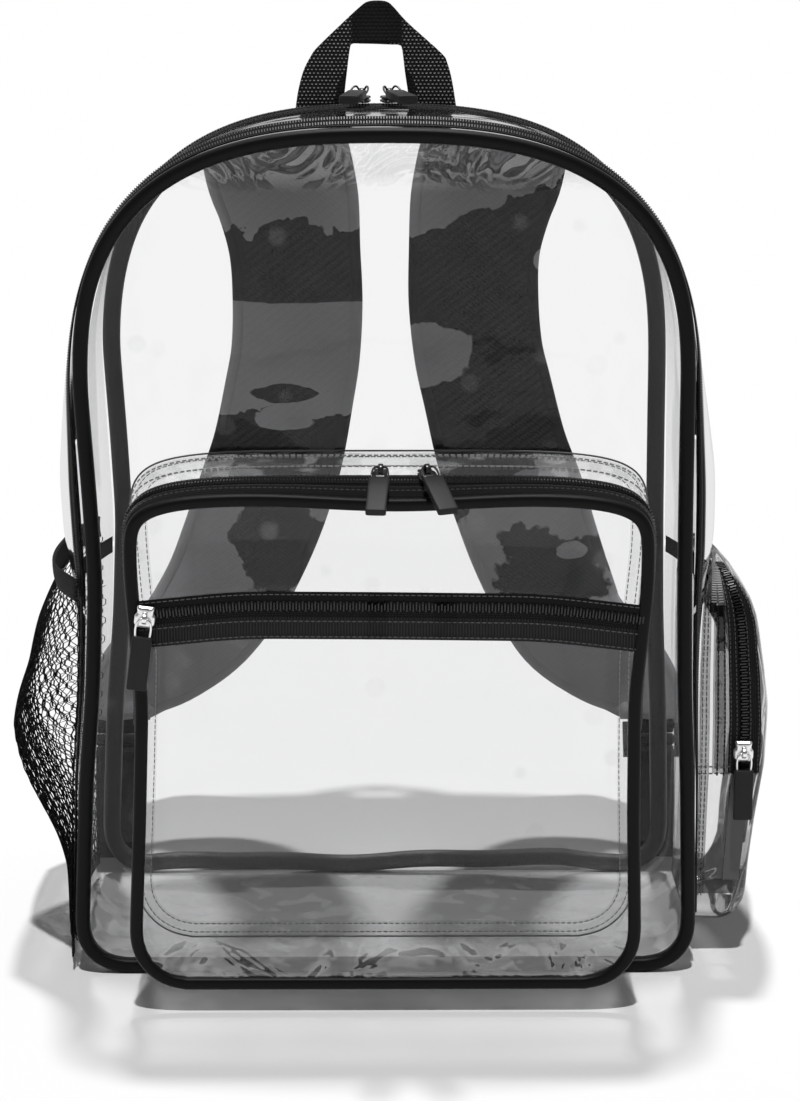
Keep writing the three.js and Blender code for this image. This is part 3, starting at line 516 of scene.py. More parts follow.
def pad_cloth_and_reflection(name, levels, slope, patches, weave=0.0032):
    """The straps' face, near black, with the ragged patches where the clear sheet clings to it; its light parts are
    painted reflection of the clear sheet.
    levels are heights where it turns dark or turns to painted reflection, from below; patches are ellipses: x, z, half
    width, half height and whether it holds painted reflection."""
    m, t, out = material(name)
    at = placed(t)
    x, _, z = parts_of(t, at)
    rough = maths(t, "SUBTRACT", noise(t, at, 26.0, Detail=4.0, Roughness=0.62), 0.5)
    broad = maths(t, "SUBTRACT", noise(t, at, 9.0, Detail=1.0), 0.5)
    ragged = total(t, rough, product(t, broad, 0.8))
    height = total(t, z, product(t, x, -slope))
    # light is the share of painted reflection of the clear sheet; the dark part is the straps' own near black
    light = 1.0 if levels[0][1] < 0 else 0.0
    for level, way, wobble in levels:
        here = total(t, height, product(t, ragged, wobble))
        light = total(t, product(t, ranged(t, here, level, level + 0.0006), way), light)
    for px, pz, wide, high, way in patches:
        dx = maths(t, "POWER", maths(t, "DIVIDE", maths(t, "SUBTRACT", x, px), wide), 2.0)
        dz = maths(t, "POWER", maths(t, "DIVIDE", maths(t, "SUBTRACT", z, pz), high), 2.0)
        far = total(t, maths(t, "SQRT", total(t, dx, dz)), product(t, ragged, 1.6))
        inside = ranged(t, far, 1.03, 0.97)
        light = node(t, "Mix", {"Factor": inside, "A": light, "B": float(way)}).outputs["Result"]
    scuff = maths(t, "SUBTRACT", noise(t, at, 55.0, Detail=5.0, Roughness=0.7), 0.5)
    if weave:
        up = product(t, z, 1.25)
        d1 = maths(t, "SINE", product(t, total(t, x, up), 2 * math.pi / weave))
        d2 = maths(t, "SINE", product(t, maths(t, "SUBTRACT", x, up), math.pi / weave))
        cloth = product(t, total(t, d1, d2), 0.5)
    else:
        cloth = product(t, ragged, 0.2)
    # On both parts the weave's crowns are painted a little lighter: painted sheen
    reflection_part = total(t, product(t, cloth, 0.010), 0.25)
    dark_part = total(t, product(t, cloth, 0.010), 0.009)
    value = node(t, "Mix", {"Factor": light, "A": dark_part, "B": reflection_part}).outputs["Result"]
    value = maths(t, "MAXIMUM", total(t, value, product(t, scuff, 0.035)), 0.003)
    colour = node(t, "CombineXYZ", {0: value, 1: value, 2: product(t, value, 1.03)}).outputs[0]
    principled(t, out, colour, 0.9, Normal=bumped(t, cloth, 0.06, 0.0004), specular=0.2)
    return m


# Where each strap's face takes painted reflection of the clear sheet, and where it stays near black
PATCHES = {
    "left": dict(
        levels=[(0.205, -1, 0.03), (0.256, 1, 0.03), (0.3185, -1, 0.006), (0.3625, 1, 0.06)],
        slope=0.0,
        patches=[(-0.052, 0.266, 0.021, 0.0055, 0), (-0.054, 0.2505, 0.019, 0.008, 1),
                 (-0.058, 0.178, 0.030, 0.036, 0)],
    ),
    "right": dict(
        levels=[(0.175, -1, 0.05), (0.349, 1, 0.05)],
        slope=0.5,
        patches=[(0.022, 0.288, 0.021, 0.0155, 1), (0.088, 0.343, 0.010, 0.009, 1), (0.092, 0.160, 0.040, 0.034, 0),
                 (0.106, 0.168, 0.012, 0.009, 1)],
    ),
}


def put(o, look, slot, *nodes, body="bag"):
    """Gives a piece its look, its body and the nodes that it stands for; its slot is not used."""
    o.data.materials.clear()
    o.data.materials.append(look)
    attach(o, body)
    if nodes:
        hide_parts(*nodes)
    return o


def thickened(o, thickness):
    o.modifiers.new("thick", "SOLIDIFY").thickness = thickness * MM
    return o


def studs(name, line, up, pitch, size, look, zigzag=0.0, lift=0.0, narrow=0.7, slot="tape"):
    """Small blocks evenly along a line that lies on a sheet facing up, every other one to one side."""
    both = even(np.hstack([line, np.broadcast_to(up, line.shape)]), pitch=pitch)
    a, c, u = frames(both[:, :3], both[:, 3:])
    side = np.where(np.arange(len(both)) % 2, zigzag, -zigzag)[:, None]
    put(bars(name, both[:, :3] + u * lift + c * side, a, c, u, size, narrow), look, slot)


def stitch(name, line, up, pitch, long, wide, look=THREAD, slot="tape"):
    """A row of stitches along a line that lies on a sheet facing up."""
    studs(name, line, up, pitch, (long, wide, wide), look, lift=STITCH_LIFT, narrow=0.9, slot=slot)


def cord(name, line, up, section, look, slot):
    """A round or flattened cord along a line."""
    _, across, up = frames(line, up)
    put(sweep(name, carried(line, across, up, round_section(*section))), look, slot)


# Main compartment


def flat_sheet(name, ring, inset, y, bulge=0.0, wave=0.0):
    """A sheet inside an outline, as rings that shrink to its middle, a little bulged and wavy."""
    edge = np.hstack(outward(ring, -inset))[::2]
    middle = np.array([0.0, (edge[:, 1].max() + edge[:, 1].min()) / 2])
    shares = np.linspace(1, 0.002, SHEET_RINGS)
    p = middle + (edge - middle)[None] * shares[:, None, None]
    x, z = p[..., 0], p[..., 1]
    depth = y - bulge * (1 - shares[:, None] ** 2)
    lap = np.minimum(1, (1 - shares[:, None]) * 5)
    depth = depth + wave * lap * (np.sin(x / 31 + z / 53) + np.sin(z / 37 - x / 71 + 1.3)) / 2
    return grid(name, np.stack([x, depth, z], axis=2).transpose(1, 0, 2), wrap=True)


def beside_zip(rows, place, zip_end, above, below, back, cols):
    """Places on a gusset that starts at one depth beside its zipper and at another below the zipper's end."""
    return np.stack(
        [place(r[None], np.linspace(above if r[1] > zip_end else below, back, cols), -0.5)[0] for r in rows]
    )


put(flat_sheet("front_sheet", BAG, 4.0, -73.0, 2.0, 0.5), CLEAR_FRONT, "clear", "front_panel")

UPPER = rows_above(BAG, SEAM)
LOWER = rows_below(BAG, SEAM)
ZIP_ROWS = rows_above(BAG, ZIP_END + 3)
put(grid("gusset_front_sheet", on_bag(UPPER, np.linspace(-72, 23, 12), -0.5)), CLEAR_GUSSET, "clear", "gusset_front")
rear = beside_zip(UPPER, on_bag, ZIP_END + 3, 49, 22.5, 72, 6)
put(grid("gusset_rear_sheet", rear), CLEAR_GUSSET, "clear", "gusset_rear")
put(grid("gusset_lower_sheet", on_bag(LOWER, np.linspace(-72, 72, 16), -0.5)), CLEAR_GUSSET, "clear", "gusset_lower")


def piping(name, ring, width, face, back, look, node_name, lower=None):
    """Smooth piping whose round edge looks out."""
    section = round_section(width, abs(back - face), 16, 2.7)
    y = (face + back) / 2
    x, z = outward(ring, section[:, 0] - width / 2)
    if lower is not None:
        z = z - lower(x, y, z)
    p = np.stack([x, np.broadcast_to(y + section[:, 1], x.shape), z], axis=2)
    put(sweep(name, p, wrap=True), look, "piping", node_name)


BACK = BAG.copy()
BACK[:, :2] -= BAG[:, 2:] * taper(BAG[:, 1])[:, None]
flatness = np.clip((40 - BAG[:, 1]) / 40, 0, 1) * np.clip((140 - np.abs(BAG[:, 0])) / 40, 0, 1)
BACK[:, 1] += flatness * (2.2 + 1.4 * np.sin(BAG[:, 0] / 33 - 0.6) + 0.7 * np.sin(BAG[:, 0] / 12))
piping("front_piping", BAG, 7.5, -HALF_DEPTH, -68.0, PIPING, "front_binding")
piping("back_piping", BACK, 9.5, HALF_DEPTH, 68.0, BACK_PIPING, "back_binding")
put(flat_sheet("back_sheet", BACK, 4.0, 72.5, 0.0, 0.8), CLEAR_BACK, "clear", "back_panel")


def upward(rows):
    return np.column_stack([rows[:, 2], np.zeros(len(rows)), rows[:, 3]])


def ribbed(name, rows, place, y0, y1, off, node_name):
    """Ribbed seam tape: a flat tape with two rows of ribs across it, which stands up behind the piping over the top."""
    stand = np.clip(rows[:, 3], 0, 1) ** 1.5

    def raised(y):
        lift = (np.asarray(y) - y0) * 0.38
        return np.stack([place(r[None], np.asarray(y), lift * w + off)[0] for r, w in zip(rows, stand)])

    put(grid(name, raised([y0, (y0 + y1) / 2, y1])), TAPE, "tape", node_name)
    half = (y1 - y0) / 2
    for k, middle in enumerate((y0 + half / 2, y1 - half / 2)):
        here = raised([middle, middle + 1.0])
        both = even(np.hstack([here[:, 0], upward(rows)]), pitch=1.35)
        lean = np.outer(both[:, 5] ** 2, (0, -0.6, 0))
        a, c, u = frames(both[:, :3], both[:, 3:] + lean)
        put(bars(f"{name}_ribs_{k}", both[:, :3] + u * 0.3, a, c, u, (0.75, half * 0.8, 0.9), 0.6), RIB, "tape")


rows = rows_above(BAG, 30)
ribbed("front_seam_ribs", rows, on_bag, -67.5, -58.5, 0.2, "front_seam_tape")
line = on_bag(rows, np.array([-67.9, -66.9]), 0.3)[:, 0]
cord("front_seam_bead", line, upward(rows), (0.9, 0.9, 8), PIPING, "tape")


def zipper(name, rows, place, y0, y1, node_name, off=0.0, coil=4.6, pitch=1.5, tuck=0.0):
    """A zipper: woven tape, the coil's turns across its middle, and a row of stitches and one of slanting threads along
    each edge. tuck is how far the tape goes on under the piping."""
    ys = np.concatenate([[y0 - tuck], np.linspace(y0, y1, 7)]) if tuck else np.linspace(y0, y1, 7)
    offs = np.where(ys < y0, off - 1.8, off)
    put(grid(f"{name}_cloth", place(rows, ys, offs)), TAPE, "tape", node_name)
    up = upward(rows)

    def along(y):
        return place(rows, np.array([y, y + 1.0]), off)[:, 0]

    studs(f"{name}_coil", along((y0 + y1) / 2), up, pitch, (0.95, coil, 1.3), COIL, 0.35, 0.75)
    for k, edge in enumerate((y0 + 1.2, y1 - 1.2)):
        stitch(f"{name}_stitch_{k}", along(edge), up, 2.6, 1.8, 0.4)
    for k, edge in enumerate((y0 + 3.1, y1 - 3.1)):
        both = even(np.hstack([along(edge), up]), pitch=1.05)
        a, c, u = frames(both[:, :3], both[:, 3:])
        lean = (a + c * 0.6) / math.hypot(1, 0.6)
        turns = bars(f"{name}_rope_{k}", both[:, :3] + u * 0.3, lean, np.cross(u, lean), u, (0.6, 2.2, 0.8), 0.7)
        put(turns, RIB, "tape")


zipper("main_zip", ZIP_ROWS, on_bag, 22.2, 49.8, "main_zipper", 0.2)

# Seams on the sides and their inner tapes
for side, sign in BOTH_SIDES:
    ys = np.linspace(-57, 68, 30)
    zs = np.linspace(SEAM - 4.5, SEAM + 4.5, 4)
    yy, zz = np.meshgrid(ys, zs, indexing="ij")
    p = np.stack([sign * (reach(side, yy, zz) - 1.6), yy, zz], axis=2)
    put(grid(f"side_seam_{side}", p, flip=sign < 0), TAPE, "tape", f"side_seam_tape_{side}")
    for k, z in enumerate((SEAM + 2.6, SEAM - 2.4)):
        stitch(f"side_hem_{side}_{k}", line_at(sign * reach(side, ys, z), ys, z), (sign, 0, 0), 3.0, 2.2, 0.5)
    bead = line_at(sign * reach(side, ys, SEAM), ys, SEAM)
    cord(f"side_hem_edge_{side}", bead, (sign, 0, 0), (1.2, 0.9, 8), CLEAR_LIP, "clear")

# Handle: an arch of webbing with straight legs, folded round at its top
HANDLE_OUT = [(-47.3, 418), (-45.3, 431.8), (-42.4, 442.7), (-38.7, 450), (-35, 455), (-21.4, 467.9), (-13, 475.5),
              (-9, 478.3), (-3.6, 479), (1.6, 478.3), (5, 475.5), (12.5, 467.4), (29.8, 452), (32.9, 447), (35.6, 437),
              (38.6, 418)]
HANDLE_IN = [(-22, 418), (-21, 429.8), (-19.6, 442), (-17.9, 454.5), (-16.6, 456.8), (-12, 456.9), (-8, 456.9),
             (-4, 456.8), (0, 456.6), (4, 456.4), (7.6, 456.2), (9.2, 454.3), (10.8, 442), (12.6, 429.8), (13.6, 418)]
outer = spline(HANDLE_OUT, 96)
inner = spline(HANDLE_IN, 96)
share = np.linspace(0, 1, 11)
flat = outer[:, None, :] * (1 - share[None, :, None]) + inner[:, None, :] * share[None, :, None]
top = np.exp(-(((np.arange(96) - 47.5) / 11.0) ** 2))[:, None]
y = 76.4 + 1.2 * top * np.sin(np.pi * share)[None, :] - 3.5 * top * (share[None, :] - 0.2)
face = np.stack([flat[..., 0], y, flat[..., 1]], axis=2)
put(thickened(grid("handle_web", face), 2.0), HANDLE_WEB, "webbing", "handle")

# Shoulder pads, as how far across, extra on the right, back, up and wide
PAD_REST, PAD_END = 79.3, 34
PAD_PATH = [(59, 0, 0, 405, 76), (55.5, 0, 0, 390, 77), (51, 0, 2, 372, 74), (48, 0, 7, 347, 69), (47, 1, 13, 319, 69),
            (48.5, 2.5, 20, 290, 69), (52.5, 4, 28, 266, 70), (59.5, 5.5, 41, 231, 72), (69, 6.5, 54, 200, 74),
            (79.5, 5.5, 65, 171, 73), (91.5, 4, 72, 144, 70), (107, 0, 74, 120.5, 66), (125, 0, 69, 104.5, 59),
            (141.5, 0, 61, 94, 50), (152, 0, 51, 82, 39), (152, 0, 45, 71.5, PAD_END)]
for side, sign in BOTH_SIDES:
    path = [(sign * (x + (more if sign > 0 else 0)), PAD_REST + y, z, w) for x, more, y, z, w in PAD_PATH]
    rows = spline(path, 90)
    line, wide = rows[:, :3], rows[:, 3]
    a = unit(np.gradient(line, axis=0))
    c = unit(np.cross((0, 1, 0), a))
    u = np.cross(a, c)
    t = np.linspace(0, 2 * math.pi, 28, endpoint=False)
    p = line[:, None, :] + c[:, None, :] * (wide[:, None] / 2 * powered(np.cos(t), 0.55))[..., None]
    p = p + u[:, None, :] * (3.8 * powered(np.sin(t), 0.75))[None, :, None]
    face_look = pad_cloth_and_reflection(f"pad cloth and reflection {side}", **PATCHES[side])
    edge_look = pad_cloth_and_reflection(f"pad edge and reflection {side}", **PATCHES[side], weave=0)
    pad = put(sweep(f"pad_{side}", p), face_look, "pad", f"strap_pad_{side}")
    for k in (-1, 1):
        edge = line + c * (k * (wide / 2 - 3.0))[:, None]
        cord(f"pad_edge_{side}_{(k + 1) // 2}", edge, u, (7.2, 6.8, 12, 2.4), edge_look, "pad")

# The lower webbing, and how it is threaded through its ladder lock: through the lock and up it
LOCK, LEAN = (152, 119, 62), math.radians(-30)
LOOP_OVER = [(-1.2, 15), (-2.9, 10.5), (-3.0, 7), (-2.0, 4.9), (0, 4.4), (2.0, 4.9), (3.0, 7), (2.9, 10.5), (1.2, 15)]
SADDLE = [(-3.1, -3.4), (-3.0, 0.6), (-2.2, 2.6), (0, 3.0), (2.2, 2.6), (3.0, 0.6), (3.1, -3.4)]


def threaded(name, side, sign, points, width):
    line = []
    for through, up in points:
        y = through * math.cos(LEAN) - up * math.sin(LEAN)
        z = through * math.sin(LEAN) + up * math.cos(LEAN)
        line.append((sign * LOCK[0], LOCK[1] + y, LOCK[2] + z))
    line = spline(line, 26)
    along = np.gradient(line, axis=0)
    up = unit(line_at(0, -along[:, 2], along[:, 1]))
    cord(f"{name}_{side}", line, up, (width, 1.1, 12, 4), SMOOTH_WEB, "webbing")


for side, sign in BOTH_SIDES:
    for part, look, edge in (("webbing", SMOOTH_WEB, 0.3), ("adjuster", PLASTIC, 0.9)):
        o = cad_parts[f"strap_{part}_{side}"]
        o.data.materials.clear()
        o.data.materials.append(look)
        bevel = o.modifiers.new("edge", "BEVEL")
        bevel.width = edge * MM
        bevel.segments = 3
    threaded("lock_loop", side, sign, LOOP_OVER, 25.6)
    threaded("lock_saddle", side, sign, SADDLE, 25.2)

# Front pocket
piping("pocket_piping", POCKET, 6.4, FACE, -119.0, PIPING, "pocket_binding", sag)
POCKET_ZIP = rows_above(POCKET, POCKET_ZIP_END)
zipper("pocket_zip", POCKET_ZIP, on_pocket, -118.6, -103.2, "pocket_zipper", 0.2, 4.4, tuck=2.0)
walls = beside_zip(POCKET, on_pocket, POCKET_ZIP_END, -103, -119, -73, 8)
put(grid("pocket_wall", walls, wrap=True), CLEAR_WALL, "clear", "pocket_gusset")
lip = np.stack([on_pocket(POCKET, np.array([-73.5]), off)[:, 0] for off in (-7.5, -4, 0.8)], axis=1)
put(grid("pocket_lip", lip, wrap=True), CLEAR_LIP, "clear", "pocket_flange")
rim = on_pocket(POCKET, np.array([-73.8]), 0.8)[:, 0]
cord("pocket_lip_rim", looped(rim), FORWARD, (0.9, 0.9, 8), GREY_BAND, "clear")
for k, off in enumerate((-2.0, -6.5)):
    line = looped(on_pocket(POCKET, np.array([-74.2]), off)[:, 0])
    stitch(f"pocket_lip_stitch_{k}", line, FORWARD, 3.0, 2.2, 0.5, CLEAR_THREAD, "clear")
for k, y in enumerate((-78.0, -92.0)):
    line = on_pocket(POCKET_ZIP, np.array([y]), 0.0)[:, 0]
    stitch(f"pocket_top_stitch_{k}", line, upward(POCKET_ZIP), 3.1, 2.2, 0.7, CLEAR_THREAD, "clear")

BOW = [(-1, -5), (-0.55, 0.5), (0, 0), (0.6, -1), (1, -7)]


def bow(x):
    return curve(BOW, x / POCKET_HALF, 0.1)


def across_pocket(name, low, high, y, look, *nodes, count=60, cols=4):
    """A band across the pocket's face between two heights, ended inside its piping. Returns where its rows are."""
    edges = POCKET[np.abs(POCKET[:, 1] - (low + high) / 2) < 3, 0]
    x = np.linspace(edges[edges < 0].mean() + 4.5, edges[edges > 0].mean() - 4.5, count)
    zs = np.linspace(low, high, cols)
    xx, zz = np.meshgrid(x, zs, indexing="ij")
    put(grid(name, np.stack([xx, np.full(xx.shape, y), zz + bow(xx)], axis=2)), look, "tape", *nodes)
    return x


def face_sheet(name, part):
    """The part of the pocket's face above or below the cross zipper, on a grid fitted to the outline."""
    ring = np.hstack(outward(POCKET, -3.4))
    right, left = (half[np.argsort(half[:, 1])] for half in (ring[ring[:, 0] > 0], ring[ring[:, 0] < 0]))
    bottom, top_z = ring[:, 1].min() + 0.05, ring[:, 1].max() - 0.05
    low, high = (bottom, 190.0) if part == "lower" else (213.0, top_z)
    s = np.linspace(0, 1, 40)
    s = 0.5 - 0.5 * np.cos(np.pi * s)
    zs = low + (high - low) * s
    across = 0.5 - 0.5 * np.cos(np.pi * np.linspace(0, 1, 60))
    xr = np.interp(zs, right[:, 1], right[:, 0])
    xl = np.interp(zs, left[:, 1], left[:, 0])
    xx = xl[None, :] + (xr - xl)[None, :] * across[:, None]
    weight = (1 - s) if part == "upper" else s
    zz = zs[None, :] + bow(xx) * weight[None, :]
    yy = -122.7 - 0.25 * (np.sin(xx / 29 + zz / 41) + np.sin(zz / 23 - xx / 57))
    zz = zz - sag(xx, np.full(xx.shape, -123.0), zz)
    return grid(name, np.stack([xx, yy, zz], axis=2))


put(face_sheet("pocket_face_upper", "upper"), CLEAR_POCKET, "clear", "pocket_panel_upper")
put(face_sheet("pocket_face_lower", "lower"), CLEAR_POCKET, "clear", "pocket_panel_lower")
CROSS_Z = 206.5
x = across_pocket("cross_tape", 200.9, 213.5, -123.5, TAPE, "pocket_cross_zipper")
across_pocket("cross_strip", 190.4, 201.2, -123.6, CROSS_RIB, "pocket_cross_strip", count=90)
across_pocket("cross_hem", 209.8, 213.8, -123.8, SMOOTH_WEB, cols=3)
for k, z in enumerate((191.8, 199.4, 212.4)):
    stitch(f"cross_stitch_{k}", line_at(x, -124.0, z + bow(x)), FORWARD, 2.8, 2.0, 0.4)
studs("cross_coil", line_at(x, -124.4, CROSS_Z + bow(x)), FORWARD, 1.5, (0.95, 4.6, 1.2), COIL, 0.35)

# Mesh pocket
NET_LOW, NET_HIGH, NET_HALF, NET_FRONT, BAND_HIGH = 16.0, 195.0, 64.0, -71.0, 206.3
POUCH = [(0, 2.5), (16, 2.5), (34, 3), (50, 4), (64, 9), (75, 14.5), (89, 21.5), (100, 26), (112, 29), (122, 30.5),
         (133, 28.5), (149, 23), (160, 20.5), (171, 17.5), (183, 12), (195, 5)]
BAND_OUT = [(-71, 0), (-62, 1.5), (-50, 3.5), (-38, 4.5), (-16, 3), (8, 1.5), (22, 1.2), (50, 0.8), (64, 0)]


def net_reach(y, z):
    edge = np.clip((NET_HALF - np.abs(y)) / 26, 0, 1)
    return reach("left", y, z) + 2.4 + curve(POUCH, z, 0.04) * np.sqrt(edge)


def net(name, pitch, rise, wide, inner, low, high, lag):
    """A knotted net: upright strands that sway and meet their neighbours in turn, leaving six-sided cells."""
    span = NET_HALF - NET_FRONT
    columns = int(span / pitch)
    steps = int((high - low) / rise)
    z = low + (high - low) * np.arange(steps + 1) / steps
    verts, faces = [], []
    base = 0
    sway = np.array([0.0, 0.0, 1.0, 1.0])
    for k in range(columns + 1):
        phase = sway[(np.arange(steps + 1) + (0 if k % 2 else 2)) % 4]
        y = NET_FRONT + span * (k + (phase - 0.5) * 0.9) / columns
        y = y + lag * np.sin(z / 23 + k / 5)
        y = np.clip(y, NET_FRONT, NET_HALF)
        x = -net_reach(y, z) + inner
        for dy, dx in ((-wide / 2, 0.0), (wide / 2, 0.0), (0.0, 0.5)):
            verts.append(np.column_stack([x + dx, y + dy, z]))
        for i in range(steps):
            for s in range(3):
                p, q = base + s * (steps + 1) + i, base + ((s + 1) % 3) * (steps + 1) + i
                faces.append([p, q, q + 1, p + 1])
        base += 3 * (steps + 1)
    return mesh(name, np.vstack(verts), faces)


put(net("net_pouch", 2.3, 2.0, 1.12, 0.0, NET_LOW, NET_HIGH, 0.0), NET, "mesh", "mesh_pocket")
put(net("net_pleat", 3.1, 2.6, 0.85, 1.6, NET_LOW, 168.0, 1.2), NET, "mesh")
ys = np.linspace(NET_FRONT, NET_HALF, 40)
zs = np.linspace(NET_HIGH + 0.3, BAND_HIGH, 5)
yy, zz = np.meshgrid(ys, zs, indexing="ij")
belly = 0.6 * np.sin(np.pi * (zz - NET_HIGH) / (BAND_HIGH - NET_HIGH))
p = np.stack([-(reach("left", yy, zz) + 2.6 + curve(BAND_OUT, yy) + belly), yy, zz], axis=2)
put(thickened(grid("net_band", p), 1.6), BAND, "webbing", "mesh_pocket_band")
for k, z in enumerate((NET_HIGH + 2, BAND_HIGH - 2)):
    line = line_at(-(reach("left", ys, z) + 3.6 + curve(BAND_OUT, ys)), ys, z)
    stitch(f"net_band_stitch_{k}", line, (-1, 0, 0), 2.6, 1.8, 0.4, slot="webbing")
zs = np.linspace(7.9, 15.9, 3)
yy, zz = np.meshgrid(ys, zs, indexing="ij")
hem = grid("net_hem", np.stack([-net_reach(yy, np.full(yy.shape, NET_LOW)), yy, zz], axis=2))
put(thickened(hem, 1.0), TAPE, "tape", "mesh_pocket_hem")

# Side pocket, with its depth by height at its front and at its back
RAMP = [(13, 0.6, 0.6), (30, 0.83, 0.83), (48, 0.85, 0.85), (75, 0.94, 0.94), (100, 1.05, 1.03), (128, 1.07, 1.03),
        (150, 1.03, 0.7), (169, 0.95, 0.35), (179, 0.9, 0.25), (188, 0.8, 0.15), (196, 0.6, 0.1),
        (201.2, 0.38, 0.1), (203, 0.2, 0.08)]
FRONT_RAMP, BACK_RAMP = [(h, f) for h, f, _ in RAMP], [(h, b) for h, _, b in RAMP]
RISE = [(1, 0), (1, 0.45), (1, 0.8), (0.992, 0.92), (0.96, 0.98), (0.9, 1.01), (0.7, 1.05), (0.45, 1.08), (0.2, 1.1),
        (0.02, 1.1)]
POUCH_FRONT, POUCH_BACK, POUCH_DEEP = -52.0, 58.0, 31
MIDDLE_Y, MIDDLE_Z, STRAIGHT_Y, STRAIGHT_Z, POUCH_CORNER = 3, 108, 31, 71, 24


def pouch_reach(y, z, out):
    back = np.clip((y - POUCH_FRONT) / (POUCH_BACK - POUCH_FRONT), 0, 1)
    ramp = curve(FRONT_RAMP, z, 0.02) * (1 - back) + curve(BACK_RAMP, z, 0.02) * back
    return reach("right", y, z) + 1.2 + POUCH_DEEP * ramp * out


edge = []
for sy, sz, q in ((1, 1, 0), (-1, 1, 1), (-1, -1, 2), (1, -1, 3)):
    for t in np.linspace(q, q + 1, 9) * math.pi / 2:
        edge.append((sy * STRAIGHT_Y + POUCH_CORNER * math.cos(t), sz * STRAIGHT_Z + POUCH_CORNER * math.sin(t)))
edge = even(np.array(edge), 96, closed=True)
levels = []
for size, out in RISE:
    y, z = MIDDLE_Y + edge[:, 0] * size, MIDDLE_Z + edge[:, 1] * size
    levels.append(np.column_stack([pouch_reach(y, z, out), y, z]))
put(grid("side_pouch", np.stack(levels, axis=1), wrap=True), CLEAR_POUCH, "clear", "side_pocket")

# The pouch's front wall runs up and round its corner: height by height, with the way that it faces
CORNER_Y, CORNER_Z, CORNER = -28.0, 179.0, 24.0
turns = np.linspace(0, math.radians(84), 22)
wall = [(POUCH_FRONT, z, -1.0, 0.0) for z in np.linspace(32, CORNER_Z, 60)]
for t in turns[1:]:
    wall.append((CORNER_Y - CORNER * math.cos(t), CORNER_Z + CORNER * math.sin(t), -math.cos(t), math.sin(t)))
wall = np.array(wall)


def on_wall(low, high, shares, off):
    """Places on the front wall between two heights, at shares of its depth and so far off it."""
    rows = wall[(wall[:, 1] >= low) & (wall[:, 1] <= high)]
    shares = np.atleast_1d(shares)
    x = pouch_reach(rows[:, 0][:, None], rows[:, 1][:, None], shares[None, :])
    y = np.broadcast_to((rows[:, 0] + rows[:, 2] * off)[:, None], x.shape)
    z = np.broadcast_to((rows[:, 1] + rows[:, 3] * off)[:, None], x.shape)
    return np.stack([x, y, z], axis=2), np.column_stack([np.zeros(len(rows)), rows[:, 2], rows[:, 3]])


def wall_sheet(name, place, *look):
    put(grid(name, place[0]), *look)


FROM, TO, COIL_AT, STRIP_FROM = 0.45, 0.94, 0.69, 0.2
ZIP_LOW, TOP = 97.5, 204.0
wall_sheet("side_zip_tape", on_wall(ZIP_LOW, TOP, np.linspace(FROM, TO, 5), 0.7), TAPE, "tape", "side_pocket_zipper")
p, up = on_wall(ZIP_LOW, TOP, COIL_AT, 1.3)
studs("side_coil", p[:, 0], up, 1.5, (0.95, 4.6, 1.3), COIL, 0.35)
for k, share in enumerate((FROM + 0.03, 0.57, 0.78, TO - 0.03)):
    p, up = on_wall(ZIP_LOW, TOP, share, 0.8)
    stitch(f"side_zip_stitch_{k}", p[:, 0], up, 2.4, 1.6, 0.35)
strip = on_wall(ZIP_LOW, 188, np.linspace(STRIP_FROM, FROM, 4), 0.5)
wall_sheet("side_strip", strip, SMOKED, "tape", "side_pocket_strip")
fold = on_wall(ZIP_LOW + 4, 187.5, np.linspace(STRIP_FROM + 0.03, FROM - 0.05, 3), 0.8)
wall_sheet("side_strip_fold", fold, SMOKED, "tape")
fold = on_wall(163, 187.5, np.linspace(STRIP_FROM + 0.05, FROM - 0.06, 3), 0.95)
wall_sheet("side_strip_dark", fold, DEEP_SMOKED, "tape")
for k, share in enumerate((0.28, 0.385)):
    p, up = on_wall(ZIP_LOW, 187, share, 1.0)
    stitch(f"side_strip_stitch_{k}", p[:, 0], up, 2.5, 1.9, 0.8, SMOOTH_WEB)
wall_sheet("side_seam_cloth", on_wall(34, 189, np.linspace(0.0, 0.155, 3), 0.35), SMOKED, "clear")
wall_sheet("side_low_fold", on_wall(34, 44, np.linspace(0.05, 0.72, 5), 0.6), DEEP_SMOKED, "clear")
wall_sheet("side_strip_top", on_wall(188.2, TOP, np.linspace(0.12, FROM, 3), 0.6), CLEAR_LIP, "clear")
for k, share in enumerate((0.2, 0.35)):
    p, up = on_wall(188.2, TOP, share, 1.0)
    studs(f"side_strip_hatch_{k}", p[:, 0], up, 1.3, (0.6, 2.6, 0.5), CLEAR_THREAD, narrow=0.8)
for k, share in enumerate((0.04, 0.1)):
    p, up = on_wall(34, 190, share, 0.5)
    stitch(f"side_seam_stitch_{k}", p[:, 0], up, 3.0, 2.2, 0.6)
wall_sheet("side_lower_band", on_wall(40, ZIP_LOW, np.linspace(0.52, 0.84, 3), 0.5), GREY_BAND, "tape")
for k, z in enumerate((99.4, 103.0)):
    xs = np.linspace(pouch_reach(POUCH_FRONT, z, 0.0), pouch_reach(POUCH_FRONT, z, FROM), 12)
    stitch(f"side_cross_stitch_{k}", line_at(xs, POUCH_FRONT - 1.0, z), FORWARD, 2.8, 2.0, 0.6)
y, z = MIDDLE_Y + edge[:, 0], MIDDLE_Z + edge[:, 1]
rim = line_at(reach("right", y, z) + 1.4, y, z)
cord("side_pouch_rim", looped(rim), (1, 0, 0), (1.6, 1.0, 8), CLEAR_LIP, "clear")

